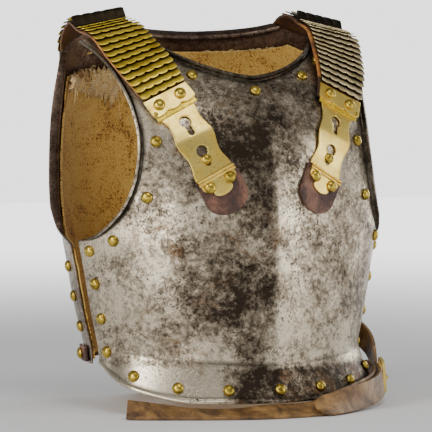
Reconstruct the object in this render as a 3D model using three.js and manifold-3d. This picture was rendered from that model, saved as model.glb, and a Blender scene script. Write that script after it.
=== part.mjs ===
// A cuirass: breastplate and backplate of steel with turned-out lips, canvas linings, two brass-scaled
// shoulder straps that hook on studs, and a leather waist belt that lies at the foot of the breastplate.
// Millimetres. +X is the wearer's left, -Y the front, +Z up. Heights start at the breastplate's rim.
import * as THREE from 'three';
import Module from 'manifold-3d';

const wasm = await Module();
wasm.setup();

// Driving dimensions of the two plates
const CHEST_HALF_WIDTH = 182;
const FRONT_DEPTH = 133;
const BACK_DEPTH = 136;
const PLATE_HEIGHT = 430;
const BREAST_WALL = 3;
const BACK_WALL = 1.8;
const RIDGE_HEIGHT = 7;
const RIDGE_HALF_WIDTH = 85;
const SKIRT_DROP = 14;
const SEAT_GAP = 0.3;

// Lips turned out along the neck and the armholes
const BREAST_LIP = { radius: 4, straight: 3.5 };
const BACK_LIP = { radius: 4, straight: 7 };
const LIP_TURN = 82;
const LIP_ROWS_TO_FULL = 3;
const LIP_TOP_SHARE = 0.6;

// Canvas linings
const LINING_WALL = 2;
const LINING_GAP = 1.5;
const LINING_PROTRUSION = 7;
const LINING_TRIM = { neck: 6, arm: 3, top: 12, rim: 5 };
const BACK_LINING_TRIM = { neck: 20, arm: 3, top: 18, rim: 5 };

// Brass rivets and studs
const RIVET_RADIUS = 6;
const RIVET_HEIGHT = 4.8;
const RIVET_INSET = 13;
const STUD_RADIUS = 5.5;
const STUD_HEIGHT = 4.2;
const STUD_CLEARANCE = 0.5;
const STUD_BELOW_HOLE = 10;

// Shoulder straps
const STRAP_LEATHER = 2.6;
const STRAP_HALF_WIDTH = 31;
const COLLAR_HALF_WIDTH = 27;
const SCALE_PITCH = 9;
const SCALE_LOBES = 5;
const SCALE_LOBE_DEPTH = 2.6;
const SCALE_ROOT = 1.2;
const SCALE_LIFT = 3.4;
const SCALE_STEP = 0.5;
const SCALE_TAIL = 3.5;
const SCALE_MARGIN = 0.8;
const STRAP_TAPER = 50;
const STRAP_RISE = 10;
const COLLAR_LENGTH = 20;
const COLLAR_OVERLAP = 2;
const REAR_PLATE_LENGTH = 21;
const BRASS_WALL = 1.4;
const RIVET_SINK = 0.4;
const KEYPLATE_HALF_WIDTH = 20;
const KEYPLATE_WAVE = 1.8;
const KEYPLATE_LENGTH = 82;
const KEYHOLE_RADIUS = 6;
const KEYHOLE_SLOT = 2.6;
const KEYHOLE_LENGTH = 14;
const TERMINAL_LENGTH = 30;
const TERMINAL_HALF_WIDTH = 22;
const BAR_LENGTH = 6;
const BAR_HEIGHT = 2;
const TIP_LENGTH = 55;
const TERMINAL_OVERHANG = 8;
const TIP_ROUND = 20;
const TIP_LEATHER = 3.2;
const TIP_HALF_WIDTH = 24;

// Waist belt
const BELT_WIDTH = 26;
const BELT_WALL = 3.4;
const BELT_STEP = 12;
const BELT_TIP_ROUND = 20;
const SIDE_STRAP_RIVET_DISTANCE = 14;
const BUCKLE_HEIGHT = 38;
const BUCKLE_LENGTH = 30;
const BUCKLE_BAR = 4.5;
const BUCKLE_WALL = 3;
const BUCKLE_ROUND = 9;
const BELT_JOINT_GAP = 1;
const TONGUE_WIDTH = 3;
const TONGUE_WALL = 2.4;

// Torso sections, from the rim of the breastplate up. height is a share of PLATE_HEIGHT, half is of
// CHEST_HALF_WIDTH, front of FRONT_DEPTH, back and middle of BACK_DEPTH; the last two are squareness.
const TORSO = [
  { height: -0.1, half: 0.83, front: 0.985, back: 0.93, middle: 0, frontSquare: 2, backSquare: 2.3 },
  { height: 0.1, half: 0.84, front: 0.985, back: 0.93, middle: 0, frontSquare: 2, backSquare: 2.3 },
  { height: 0.22, half: 0.895, front: 0.992, back: 0.97, middle: 0, frontSquare: 2, backSquare: 2.4 },
  { height: 0.3, half: 0.93, front: 0.998, back: 1, middle: 0, frontSquare: 2, backSquare: 2.4 },
  { height: 0.42, half: 0.98, front: 1, back: 1.01, middle: 0.004, frontSquare: 2, backSquare: 2.4 },
  { height: 0.54, half: 1, front: 0.985, back: 1, middle: 0.02, frontSquare: 2.05, backSquare: 2.4 },
  { height: 0.66, half: 0.985, front: 0.905, back: 0.95, middle: 0.06, frontSquare: 2.2, backSquare: 2.4 },
  { height: 0.74, half: 0.965, front: 0.77, back: 0.86, middle: 0.095, frontSquare: 2.35, backSquare: 2.4 },
  { height: 0.81, half: 0.95, front: 0.6, back: 0.735, middle: 0.135, frontSquare: 2.5, backSquare: 2.4 },
  { height: 0.88, half: 0.94, front: 0.36, back: 0.555, middle: 0.19, frontSquare: 2.5, backSquare: 2.3 },
  { height: 0.94, half: 0.925, front: 0.13, back: 0.38, middle: 0.25, frontSquare: 2.3, backSquare: 2.2 },
  { height: 1, half: 0.9, front: 0.02, back: 0.2, middle: 0.3, frontSquare: 2.1, backSquare: 2.1 },
];

const radians = THREE.MathUtils.degToRad;
const mix = THREE.MathUtils.lerp;
const MAX_ANGLE = 89;
const ease = (from, to, x) => THREE.MathUtils.smoothstep(x, from, to);

// A smooth value through the rows of a table at one height share
function tableValue(rows, key, at) {
  const last = rows.length - 2;
  let row = rows.findIndex((item, index) => index <= last && at < rows[index + 1].height);
  if (row < 0) row = last;
  const slope = (index) => {
    const low = Math.max(index - 1, 0);
    const high = Math.min(index + 1, rows.length - 1);
    return (rows[high][key] - rows[low][key]) / (rows[high].height - rows[low].height);
  };
  const span = rows[row + 1].height - rows[row].height;
  const t = THREE.MathUtils.clamp((at - rows[row].height) / span, 0, 1);
  const t2 = t * t;
  const t3 = t2 * t;
  const start = rows[row][key] * (2 * t3 - 3 * t2 + 1) + slope(row) * span * (t3 - 2 * t2 + t);
  const end = rows[row + 1][key] * (3 * t2 - 2 * t3) + slope(row + 1) * span * (t3 - t2);
  return start + end;
}

// The two plates. Angles run from the centre line towards the side, in degrees. Rim and crease rise from a
// base by a power of the angle; base, rise and all other heights are shares of PLATE_HEIGHT.
const BREAST = {
  face: -1,
  wall: BREAST_WALL,
  lip: BREAST_LIP,
  sideAngle: 84.5,
  flare: 17,
  flareFade: [55, 84],
  neckAngle: 36.5,
  neckFloor: 0.786,
  neckPower: 1.3,
  shoulderHeight: 0.92,
  rim: { drop: 0, base: 0, rise: 0.0837, from: 30, to: 84, power: 1.5 },
  crease: { drop: 0, base: 0.0884, rise: 0.0419, from: 0, to: 84, power: 1.5 },
  armhole: [
    { angle: 84.5, height: 0.395 },
    { angle: 70, height: 0.407 },
    { angle: 56.5, height: 0.455 },
    { angle: 48.5, height: 0.53 },
    { angle: 45, height: 0.62 },
    { angle: 45, height: 0.69 },
    { angle: 47.5, height: 0.76 },
    { angle: 53, height: 0.825 },
    { angle: 61, height: 0.866 },
    { angle: 71, height: 0.893 },
  ],
};
const BACK = {
  face: 1,
  wall: BACK_WALL,
  lip: BACK_LIP,
  sideAngle: 87,
  flare: 6,
  flareFade: [14, 48],
  neckAngle: 38,
  neckFloor: 0.905,
  neckPower: 1.6,
  shoulderHeight: 0.94,
  rim: { drop: SKIRT_DROP, base: 0, rise: 0.112, from: 11, to: 38, power: 1.3 },
  crease: { drop: 0, base: 0.065, rise: 0.0744, from: 8, to: 45, power: 1.2 },
  armhole: [
    { angle: 87, height: 0.385 },
    { angle: 77, height: 0.405 },
    { angle: 72, height: 0.46 },
    { angle: 70.5, height: 0.56 },
    { angle: 70.5, height: 0.68 },
    { angle: 71, height: 0.78 },
    { angle: 73, height: 0.84 },
    { angle: 78, height: 0.872 },
  ],
};

// The height of a plate's rim or crease at an angle
function levelAt({ drop, base, rise, from, to, power }, angle) {
  const share = THREE.MathUtils.clamp((angle - from) / (to - from), 0, 1);
  return PLATE_HEIGHT * (base + rise * share ** power) - drop;
}

// A point of a plate's middle surface
function platePoint(plate, angle, height) {
  const share = height / PLATE_HEIGHT;
  const front = plate.face < 0;
  const half = CHEST_HALF_WIDTH * tableValue(TORSO, 'half', share);
  const middle = BACK_DEPTH * tableValue(TORSO, 'middle', share);
  const reach = front
    ? FRONT_DEPTH * tableValue(TORSO, 'front', share)
    : BACK_DEPTH * tableValue(TORSO, 'back', share);
  const power = 2 / tableValue(TORSO, front ? 'frontSquare' : 'backSquare', share);
  const ridge = front ? RIDGE_HEIGHT * (1 - ease(0.42, 0.75, share)) : 0;
  const sine = Math.sin(radians(angle));
  const cosine = Math.abs(Math.cos(radians(angle)));
  const crease = levelAt(plate.crease, angle);
  const lowness = THREE.MathUtils.clamp((crease - height) / (crease - levelAt(plate.rim, angle)), 0, 1);
  const flare = plate.flare * lowness * (1 - ease(...plate.flareFade, angle));
  const across = half * sine ** power;
  const fold = ridge * THREE.MathUtils.clamp(1 - across / RIDGE_HALF_WIDTH, 0, 1) ** 2;
  const out = (reach - ridge) * cosine ** power + fold + cosine * flare;
  return new THREE.Vector3(across + sine * flare, middle + plate.face * out, height);
}

// The outward normal of a plate at a point, square to the centre plane on the centre line
function plateNormal(plate, angle, height) {
  const turn = 0.5;
  const rise = 1.5;
  const high = Math.min(angle + turn, MAX_ANGLE);
  const along = platePoint(plate, high, height).sub(platePoint(plate, Math.max(angle - turn, 0), height));
  const up = platePoint(plate, angle, height + rise).sub(platePoint(plate, angle, height - rise));
  const normal = along.cross(up).multiplyScalar(-plate.face);
  if (angle < 1e-6) normal.x = 0;
  return normal.normalize();
}

// The angle at which a plate has a given distance from the centre plane
function angleAcross(plate, across, height) {
  let low = 0;
  let high = MAX_ANGLE;
  for (let step = 0; step < 24; step += 1) {
    const middle = (low + high) / 2;
    if (platePoint(plate, middle, height).x < across) low = middle;
    else high = middle;
  }
  return (low + high) / 2;
}

const DEGREE_SPAN = radians(CHEST_HALF_WIDTH);
const NO_TRIM = { neck: 0, arm: 0, top: 0, rim: 0 };

// The neck edge of a plate as angle and height, from the centre line (0) to the shoulder (1)
function neckEdge(plate, share, trim) {
  const turn = radians(90 * share);
  const power = 2 / plate.neckPower;
  const top = PLATE_HEIGHT * plate.shoulderHeight - trim.top;
  const floor = PLATE_HEIGHT * plate.neckFloor - trim.neck;
  const angle = (plate.neckAngle + trim.neck / DEGREE_SPAN) * Math.sin(turn) ** power;
  return { angle, height: mix(floor, top, 1 - Math.cos(turn) ** power) };
}

// The armhole edge of a plate as angle and height, from the side corner (0) to the shoulder (1)
function armholeEdge(plate, share, trim) {
  const points = plate.armhole.map((row, index) => {
    const inward = index === 0 ? 0 : trim.arm / DEGREE_SPAN;
    const ending = index === plate.armhole.length - 1 ? trim.top : 0;
    const angle = (row.angle - inward) * DEGREE_SPAN;
    return new THREE.Vector2(angle, row.height * PLATE_HEIGHT - (index < 3 ? trim.arm : 0) - ending);
  });
  const point = new THREE.SplineCurve(points).getPointAt(share);
  return { angle: point.x / DEGREE_SPAN, height: point.y };
}

const COLUMNS = 8;
const FLANGE_SHARES = [0, 0.15, 0.55, 1];
const BODY_ROWS = 13;
const NECK_ROW = 8;
const ARM_ROW = 3;
const CREASE_ROW = FLANGE_SHARES.length - 1;

// Half of a plate as rows of points, each row from the centre line or neck to the side or armhole
function halfGrid(plate, trim) {
  const rows = FLANGE_SHARES.map((share) => {
    const row = [];
    for (let column = 0; column <= COLUMNS; column += 1) {
      const angle = (plate.sideAngle * column) / COLUMNS;
      const rim = levelAt(plate.rim, angle) + trim.rim;
      row.push({ angle, height: mix(rim, levelAt(plate.crease, angle), share) });
    }
    return row;
  });
  const creaseSide = levelAt(plate.crease, plate.sideAngle);
  const neckFloor = neckEdge(plate, 0, trim).height;
  const armFloor = armholeEdge(plate, 0, trim).height;
  for (let step = 1; step <= BODY_ROWS; step += 1) {
    const inner = step <= NECK_ROW
      ? { angle: 0, height: mix(levelAt(plate.crease, 0), neckFloor, step / NECK_ROW) }
      : neckEdge(plate, (step - NECK_ROW) / (BODY_ROWS - NECK_ROW), trim);
    const outer = step <= ARM_ROW
      ? { angle: plate.sideAngle, height: mix(creaseSide, armFloor, step / ARM_ROW) }
      : armholeEdge(plate, (step - ARM_ROW) / (BODY_ROWS - ARM_ROW), trim);
    const row = [];
    for (let column = 0; column <= COLUMNS; column += 1) {
      const share = column / COLUMNS;
      const angle = mix(inner.angle, outer.angle, share);
      const level = mix(levelAt(plate.crease, 0), creaseSide, share);
      const follow = (levelAt(plate.crease, angle) - level) * (1 - step / BODY_ROWS) ** 3;
      row.push({ angle, height: mix(inner.height, outer.height, share) + follow });
    }
    rows.push(row);
  }
  return rows.map((row, index) => row.map(({ angle, height }) => {
    const normal = plateNormal(plate, angle, height);
    if (index === 0) normal.setZ(0).normalize();
    return { point: platePoint(plate, angle, height), normal, angle, height };
  }));
}

// The lip along one edge of a half grid, as rows of points that start on the edge
function lipGrid(grid, firstRow, column, lip, sizes) {
  const nextColumn = column === 0 ? 1 : column - 1;
  return grid.slice(firstRow).map((row, index) => {
    const here = row[column];
    const rowAbove = grid[Math.min(firstRow + index + 1, grid.length - 1)][column];
    const rowBelow = grid[Math.max(firstRow + index - 1, firstRow)][column];
    const tangent = rowAbove.point.clone().sub(rowBelow.point);
    if (index === 0 && column === 0) tangent.set(1, 0, 0);
    const outward = tangent.cross(here.normal).normalize();
    const inward = row[nextColumn].point.clone().sub(here.point);
    if (index === 0 && column === 0) inward.set(0, 0, -1);
    if (outward.dot(inward) > 0) outward.negate();
    const size = sizes[index];
    const at = (turn, extra) => {
      const angle = radians(turn) * Math.min(size * 1.6, 1);
      const radius = lip.radius * size;
      const point = here.point.clone()
        .addScaledVector(outward, radius * Math.sin(angle) + extra * size * Math.cos(angle))
        .addScaledVector(here.normal, radius * (1 - Math.cos(angle)) + extra * size * Math.sin(angle));
      const normal = here.normal.clone().multiplyScalar(Math.cos(angle))
        .addScaledVector(outward, -Math.sin(angle));
      return { point, normal };
    };
    return [at(0, 0), at(LIP_TURN / 2, 0), at(LIP_TURN, 0), at(LIP_TURN, lip.straight)];
  });
}

// A closed shell from grids of middle points and normals of one half, mirrored about the centre plane
function thicken(grids, wall, offset) {
  const keys = new Map();
  const points = [];
  const normals = [];
  const index = (point, normal) => {
    const key = [point.x, point.y, point.z].map((value) => Math.round(value * 200)).join();
    if (!keys.has(key)) {
      keys.set(key, points.length);
      points.push(point);
      normals.push(normal);
    }
    return keys.get(key);
  };
  const faces = [];
  const addFace = (a, b, c) => {
    if (a === b || b === c || c === a) return;
    const side = points[b].clone().sub(points[a]).cross(points[c].clone().sub(points[a]));
    const facing = normals[a].clone().add(normals[b]).add(normals[c]);
    faces.push(side.dot(facing) > 0 ? [a, b, c] : [a, c, b]);
  };
  for (const mirror of [1, -1]) {
    for (const grid of grids) {
      const net = grid.map((row) => row.map(({ point, normal }) => index(
        new THREE.Vector3(point.x * mirror, point.y, point.z),
        new THREE.Vector3(normal.x * mirror, normal.y, normal.z),
      )));
      for (let row = 1; row < net.length; row += 1) {
        for (let column = 1; column < net[row].length; column += 1) {
          const [a, b] = [net[row - 1][column - 1], net[row - 1][column]];
          const [c, d] = [net[row][column], net[row][column - 1]];
          addFace(a, b, c);
          addFace(a, c, d);
        }
      }
    }
  }
  const positions = [];
  for (const shift of [offset + wall / 2, offset - wall / 2]) {
    points.forEach((point, place) => positions.push(point.clone().addScaledVector(normals[place], shift)));
  }
  const inner = points.length;
  const triangles = faces.flatMap(([a, b, c]) => [[a, b, c], [c + inner, b + inner, a + inner]]);
  const edges = new Set(faces.flatMap(([a, b, c]) => [`${a},${b}`, `${b},${c}`, `${c},${a}`]));
  for (const edge of edges) {
    const [from, to] = edge.split(',').map(Number);
    if (!edges.has(`${to},${from}`)) {
      triangles.push([to, from, from + inner], [to, from + inner, to + inner]);
    }
  }
  return geometryOf(positions, triangles);
}

function geometryOf(positions, triangles) {
  const geometry = new THREE.BufferGeometry();
  const flat = positions.flatMap((point) => [point.x, point.y, point.z]);
  geometry.setAttribute('position', new THREE.Float32BufferAttribute(flat, 3));
  geometry.setIndex(triangles.flat());
  geometry.computeVertexNormals();
  return geometry;
}

// Plates with their lips
function lipSizes(count, fromCorner) {
  return Array.from({ length: count }, (item, index) => {
    const grow = fromCorner ? Math.min(index / LIP_ROWS_TO_FULL, 1) : 1;
    const end = mix(1, LIP_TOP_SHARE, ease(0.7, 1, index / (count - 1)));
    return grow * end;
  });
}

function plateGeometry(plate) {
  const grid = halfGrid(plate, NO_TRIM);
  const neckRow = CREASE_ROW + NECK_ROW;
  const armRow = CREASE_ROW + ARM_ROW;
  const neck = lipGrid(grid, neckRow, 0, plate.lip, lipSizes(grid.length - neckRow, false));
  const arm = lipGrid(grid, armRow, COLUMNS, plate.lip, lipSizes(grid.length - armRow, true));
  return thicken([grid, neck, arm], plate.wall, 0);
}

// Linings follow the plate on its inside and may stand out past its side edge
function liningGeometry(plate, trim, protrusion) {
  const grid = halfGrid(plate, trim);
  if (protrusion > 0) {
    const edge = CREASE_ROW + ARM_ROW;
    for (let row = 0; row < grid.length; row += 1) {
      const last = grid[row][COLUMNS];
      const extra = row <= edge ? (protrusion / DEGREE_SPAN) * Math.min((edge - row) / 2, 1) : 0;
      const angle = Math.min(last.angle + extra, MAX_ANGLE);
      const point = platePoint(plate, angle, last.height);
      grid[row].push({ point, normal: plateNormal(plate, angle, last.height), angle, height: last.height });
    }
  }
  const offset = -(plate.wall / 2 + LINING_GAP + LINING_WALL / 2);
  return thicken([grid], LINING_WALL, offset);
}

// Solids for cuts
function solidOf(geometry) {
  const position = geometry.getAttribute('position');
  const vertProperties = new Float32Array(position.array);
  const triVerts = new Uint32Array(geometry.getIndex().array);
  return new wasm.Manifold(new wasm.Mesh({ numProp: 3, vertProperties, triVerts }));
}

function geometryFromSolid(solid) {
  const { numProp, vertProperties, triVerts } = solid.getMesh();
  const positions = [];
  for (let start = 0; start < vertProperties.length; start += numProp) {
    positions.push(new THREE.Vector3(...vertProperties.slice(start, start + 3)));
  }
  const triangles = [];
  for (let start = 0; start < triVerts.length; start += 3) {
    triangles.push(Array.from(triVerts.slice(start, start + 3)));
  }
  return geometryOf(positions, triangles);
}

// A solid lofted through closed loops of equal length
function loft(loops) {
  const size = loops[0].length;
  const triangles = [];
  for (let loop = 1; loop < loops.length; loop += 1) {
    for (let place = 0; place < size; place += 1) {
      const next = (place + 1) % size;
      const [a, b] = [(loop - 1) * size + place, (loop - 1) * size + next];
      const [c, d] = [loop * size + next, loop * size + place];
      triangles.push([a, b, c], [a, c, d]);
    }
  }
  const end = (loops.length - 1) * size;
  for (let place = 1; place < size - 1; place += 1) {
    triangles.push([0, place + 1, place], [end, end + place, end + place + 1]);
  }
  const geometry = geometryOf(loops.flat(), triangles);
  if (solidOf(geometry).volume() > 0) return geometry;
  return geometryOf(loops.flat(), triangles.map(([a, b, c]) => [a, c, b]));
}

// A course is a smooth line through anchors, each a place and an up direction, measured from its start
const ANCHOR_STEPS = 40;

function courseThrough(anchors) {
  const line = new THREE.CatmullRomCurve3(anchors.map((anchor) => anchor.place), false, 'centripetal');
  const ups = new THREE.CatmullRomCurve3(anchors.map((anchor) => anchor.up));
  const steps = ANCHOR_STEPS * (anchors.length - 1);
  const lengths = [0];
  const points = Array.from({ length: steps + 1 }, (item, index) => line.getPoint(index / steps));
  for (let step = 1; step <= steps; step += 1) {
    lengths.push(lengths[step - 1] + points[step].distanceTo(points[step - 1]));
  }
  const frameAt = (distance) => {
    let step = lengths.findIndex((value) => value >= distance);
    if (step < 1) step = distance <= 0 ? 1 : steps;
    const before = lengths[step - 1];
    const share = THREE.MathUtils.clamp((distance - before) / (lengths[step] - before), 0, 1);
    const t = (step - 1 + share) / steps;
    const along = line.getTangent(t);
    const side = along.clone().cross(ups.getPoint(t)).normalize();
    const up = side.clone().cross(along).normalize();
    return { place: line.getPoint(t), along, side, up };
  };
  const anchorDistance = (index) => lengths[index * ANCHOR_STEPS];
  return { length: lengths[steps], frameAt, anchorDistance };
}

function offsetPoint(frame, across, above, ahead = 0) {
  return frame.place.clone()
    .addScaledVector(frame.side, across)
    .addScaledVector(frame.up, above)
    .addScaledVector(frame.along, ahead);
}

function evenSteps(from, to, step) {
  const count = Math.max(Math.round((to - from) / step), 1);
  return Array.from({ length: count + 1 }, (item, index) => mix(from, to, index / count));
}

// A flat band along a course between two distances
function bandGeometry(course, from, to, step, halfWidth, bottom, top) {
  return bandThrough(course, evenSteps(from, to, step), halfWidth, bottom, top);
}

function bandThrough(course, distances, halfWidth, bottom, top) {
  return loft(distances.map((distance) => {
    const frame = course.frameAt(distance);
    const half = halfWidth(distance);
    return [
      offsetPoint(frame, -half, bottom), offsetPoint(frame, half, bottom),
      offsetPoint(frame, half, top), offsetPoint(frame, -half, top),
    ];
  }));
}

// Half width of a band that ends in a round tip at distance zero
const roundTip = (half, radius) => (distance) => {
  const left = THREE.MathUtils.clamp(1 - distance / radius, 0, 0.98);
  return half * Math.sqrt(1 - left * left);
};

function mirrored(geometry) {
  const copy = geometry.clone();
  copy.applyMatrix4(new THREE.Matrix4().makeScale(-1, 1, 1));
  const index = Array.from(copy.getIndex().array);
  for (let start = 0; start < index.length; start += 3) {
    [index[start + 1], index[start + 2]] = [index[start + 2], index[start + 1]];
  }
  copy.setIndex(index);
  return copy;
}

function fused(parts) {
  return geometryFromSolid(parts.map(solidOf).reduce((whole, part) => whole.add(part)));
}

function cutAway(geometry, cutters) {
  const whole = solidOf(geometry);
  return geometryFromSolid(cutters.map(solidOf).reduce((left, cutter) => left.subtract(cutter), whole));
}

// A turned solid whose axis stands on a point: profile pairs are radius and height
function turnedGeometry(profile, sides, place, up) {
  const loops = [];
  const turn = new THREE.Quaternion().setFromUnitVectors(new THREE.Vector3(0, 0, 1), up);
  const at = (radius, height, angle) => new THREE.Vector3(
    radius * Math.cos(angle), radius * Math.sin(angle), height,
  ).applyQuaternion(turn).add(place);
  const rings = profile.slice(0, -1);
  for (const [radius, height] of rings) {
    const turns = Array.from({ length: sides }, (item, index) => (2 * Math.PI * index) / sides);
    loops.push(turns.map((angle) => at(radius, height, angle)));
  }
  const positions = loops.flat();
  const apex = positions.length;
  positions.push(at(0, profile[profile.length - 1][1], 0));
  const triangles = [];
  for (let index = 0; index < sides; index += 1) {
    const next = (index + 1) % sides;
    for (let ring = 1; ring < rings.length; ring += 1) {
      const low = (ring - 1) * sides;
      const high = ring * sides;
      triangles.push([low + index, low + next, high + next], [low + index, high + next, high + index]);
    }
    const last = (rings.length - 1) * sides;
    triangles.push([last + index, last + next, apex]);
    if (index > 0 && index < sides - 1) triangles.push([0, index + 1, index]);
  }
  return geometryOf(positions, triangles);
}

const domeProfile = (radius, height) => [[radius, 0], [radius * 0.74, height * 0.68], [0, height]];

function domeGeometry(place, up) {
  return turnedGeometry(domeProfile(RIVET_RADIUS, RIVET_HEIGHT), 8, place, up);
}

const material = (color, roughness, metalness) => (
  new THREE.MeshStandardMaterial({ color, roughness, metalness }));
const steel = () => material(0x8b867e, 0.38, 1);
const brass = () => material(0xb4913f, 0.35, 1);
const canvas = () => material(0xa67c35, 0.95, 0);
const leather = () => material(0x6e4322, 0.6, 0);
const darkLeather = () => material(0x43261b, 0.65, 0);

const cuirass = new THREE.Group();
function addPiece(name, geometry, finish) {
  const mesh = new THREE.Mesh(geometry, finish);
  mesh.name = name;
  cuirass.add(mesh);
  return mesh;
}

// The dent of the proof shot, on the left breast. across is a share of CHEST_HALF_WIDTH, height of
// PLATE_HEIGHT.
const DENT = { across: 0.132, height: 0.6 };
const DENT_BALL = 9;
const DENT_DEPTH = 1.3;

function dentCutter() {
  const height = PLATE_HEIGHT * DENT.height;
  const angle = angleAcross(BREAST, DENT.across * CHEST_HALF_WIDTH, height);
  const normal = plateNormal(BREAST, angle, height);
  const centre = platePoint(BREAST, angle, height)
    .addScaledVector(normal, BREAST_WALL / 2 + DENT_BALL - DENT_DEPTH);
  const profile = [-0.98, -0.85, -0.5, 0, 0.6, 1].map((share) => (
    [DENT_BALL * Math.sqrt(1 - share * share), DENT_BALL * share]));
  return turnedGeometry(profile, 12, centre, normal.clone());
}

const breastplate = addPiece('breastplate', cutAway(plateGeometry(BREAST), [dentCutter()]), steel());
const backplate = addPiece('backplate', plateGeometry(BACK), steel());
addPiece('breast_lining', liningGeometry(BREAST, LINING_TRIM, LINING_PROTRUSION), canvas());
addPiece('back_lining', liningGeometry(BACK, BACK_LINING_TRIM, 0), canvas());

// Where a round foot of a given radius sits just clear of a plate's facets, along the plate's normal
const ray = new THREE.Raycaster();
function seatOn(mesh, point, normal, radius) {
  const reach = 20;
  const across = new THREE.Vector3(0, 0, 1).cross(normal).normalize();
  const along = normal.clone().cross(across);
  let nearest = Infinity;
  for (let step = 0; step <= 8; step += 1) {
    const turn = (Math.PI * step) / 4;
    const out = step === 8 ? 0 : radius;
    const origin = point.clone()
      .addScaledVector(across, out * Math.cos(turn))
      .addScaledVector(along, out * Math.sin(turn))
      .addScaledVector(normal, reach);
    ray.set(origin, normal.clone().negate());
    const hits = ray.intersectObject(mesh);
    if (hits.length > 0) nearest = Math.min(nearest, hits[0].distance);
  }
  return point.clone().addScaledVector(normal, reach - nearest + SEAT_GAP);
}

const MIRRORS = [['left', 1], ['right', -1]];

function addRivet(name, plate, mesh, angle, height, mirror) {
  const normal = plateNormal(plate, angle, height);
  const point = platePoint(plate, angle, height);
  const geometry = domeGeometry(seatOn(mesh, point, normal, RIVET_RADIUS), normal);
  addPiece(name, mirror < 0 ? mirrored(geometry) : geometry, brass());
}

// A rivet's angle and height a given inset inside an edge curve
function insetFrom(plate, edgeCurve, share, inset) {
  const step = 0.02;
  const edge = edgeCurve(plate, share, NO_TRIM);
  const before = edgeCurve(plate, Math.max(share - step, 0), NO_TRIM);
  const after = edgeCurve(plate, Math.min(share + step, 1), NO_TRIM);
  const run = platePoint(plate, after.angle, after.height)
    .sub(platePoint(plate, before.angle, before.height));
  const normal = plateNormal(plate, edge.angle, edge.height);
  const inward = share === 0 ? new THREE.Vector3(0, 0, -1) : run.cross(normal).normalize();
  inward.addScaledVector(normal, -inward.dot(normal)).normalize();
  if (edgeCurve === neckEdge ? inward.z > 0 : inward.x > 0) inward.negate();
  const goal = platePoint(plate, edge.angle, edge.height).addScaledVector(inward, inset);
  return { angle: angleAcross(plate, goal.x, goal.z), height: goal.z };
}

const NECK_RIVET_SHARES = [0.38, 0.58];
const ARM_RIVET_SHARES = [0.2, 0.385, 0.55];
const SIDE_RIVET_HEIGHTS = [0.116, 0.2, 0.288, 0.37];
const RIM_RIVET_ANGLES = [19.3, 38.7, 58];
const BACK_SIDE_RIVET_HEIGHTS = [0.172, 0.249, 0.325];
const SIDE_RIVET_INSET = 25;
const NECK_RIVET_INSET = 12;

const neckMiddle = insetFrom(BREAST, neckEdge, 0, NECK_RIVET_INSET);
addRivet('neck_rivet_middle', BREAST, breastplate, 0, neckMiddle.height, 1);
addRivet('rim_rivet_middle', BREAST, breastplate, 0, RIVET_INSET, 1);
for (const [hand, mirror] of MIRRORS) {
  NECK_RIVET_SHARES.forEach((share, index) => {
    const { angle, height } = insetFrom(BREAST, neckEdge, share, NECK_RIVET_INSET);
    addRivet(`${hand}_neck_rivet_${index + 1}`, BREAST, breastplate, angle, height, mirror);
  });
  ARM_RIVET_SHARES.forEach((share, index) => {
    const { angle, height } = insetFrom(BREAST, armholeEdge, share, RIVET_INSET);
    addRivet(`${hand}_armhole_rivet_${index + 1}`, BREAST, breastplate, angle, height, mirror);
  });
  SIDE_RIVET_HEIGHTS.forEach((share, index) => {
    const angle = BREAST.sideAngle - SIDE_RIVET_INSET / DEGREE_SPAN;
    addRivet(`${hand}_side_rivet_${index + 1}`, BREAST, breastplate, angle, share * PLATE_HEIGHT, mirror);
  });
  RIM_RIVET_ANGLES.forEach((angle, index) => {
    const height = levelAt(BREAST.rim, angle) + RIVET_INSET;
    addRivet(`${hand}_rim_rivet_${index + 1}`, BREAST, breastplate, angle, height, mirror);
  });
  // The lowest one on the left is covered by the belt's side strap
  BACK_SIDE_RIVET_HEIGHTS.slice(mirror > 0 ? 1 : 0).forEach((share, index) => {
    const angle = BACK.sideAngle - SIDE_RIVET_INSET / DEGREE_SPAN;
    addRivet(`${hand}_back_rivet_${index + 1}`, BACK, backplate, angle, share * PLATE_HEIGHT, mirror);
  });
}

// The course of a shoulder strap's underside, from its tip on the breast over the shoulder to the back.
// across is a share of CHEST_HALF_WIDTH, depth of BACK_DEPTH, height of PLATE_HEIGHT, and rise, the distance
// above the plate, of STRAP_RISE. A row without a plate hangs free, with its own lean.
const STRAP_COURSE = [
  { plate: BREAST, across: 0.240, height: 0.470, rise: 0 },
  { plate: BREAST, across: 0.342, height: 0.553, rise: 0 },
  { plate: BREAST, across: 0.427, height: 0.627, rise: 0 },
  { plate: BREAST, across: 0.495, height: 0.694, rise: 0.02 },
  { plate: BREAST, across: 0.565, height: 0.752, rise: 0.25 },
  { plate: BREAST, across: 0.622, height: 0.804, rise: 0.55 },
  { plate: BREAST, across: 0.676, height: 0.855, rise: 0.65 },
  { plate: BREAST, across: 0.712, height: 0.895, rise: 0.7 },
  { across: 0.735, depth: 0.185, height: 0.932, outLean: 12, frontLean: 22 },
  { across: 0.735, depth: 0.38, height: 0.953, outLean: 12, frontLean: -4 },
  { plate: BACK, across: 0.712, height: 0.905, rise: 1 },
  { plate: BACK, across: 0.680, height: 0.840, rise: 0.3 },
  { plate: BACK, across: 0.664, height: 0.802, rise: 0.1 },
];
const CREST_ROW = 8;

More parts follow.
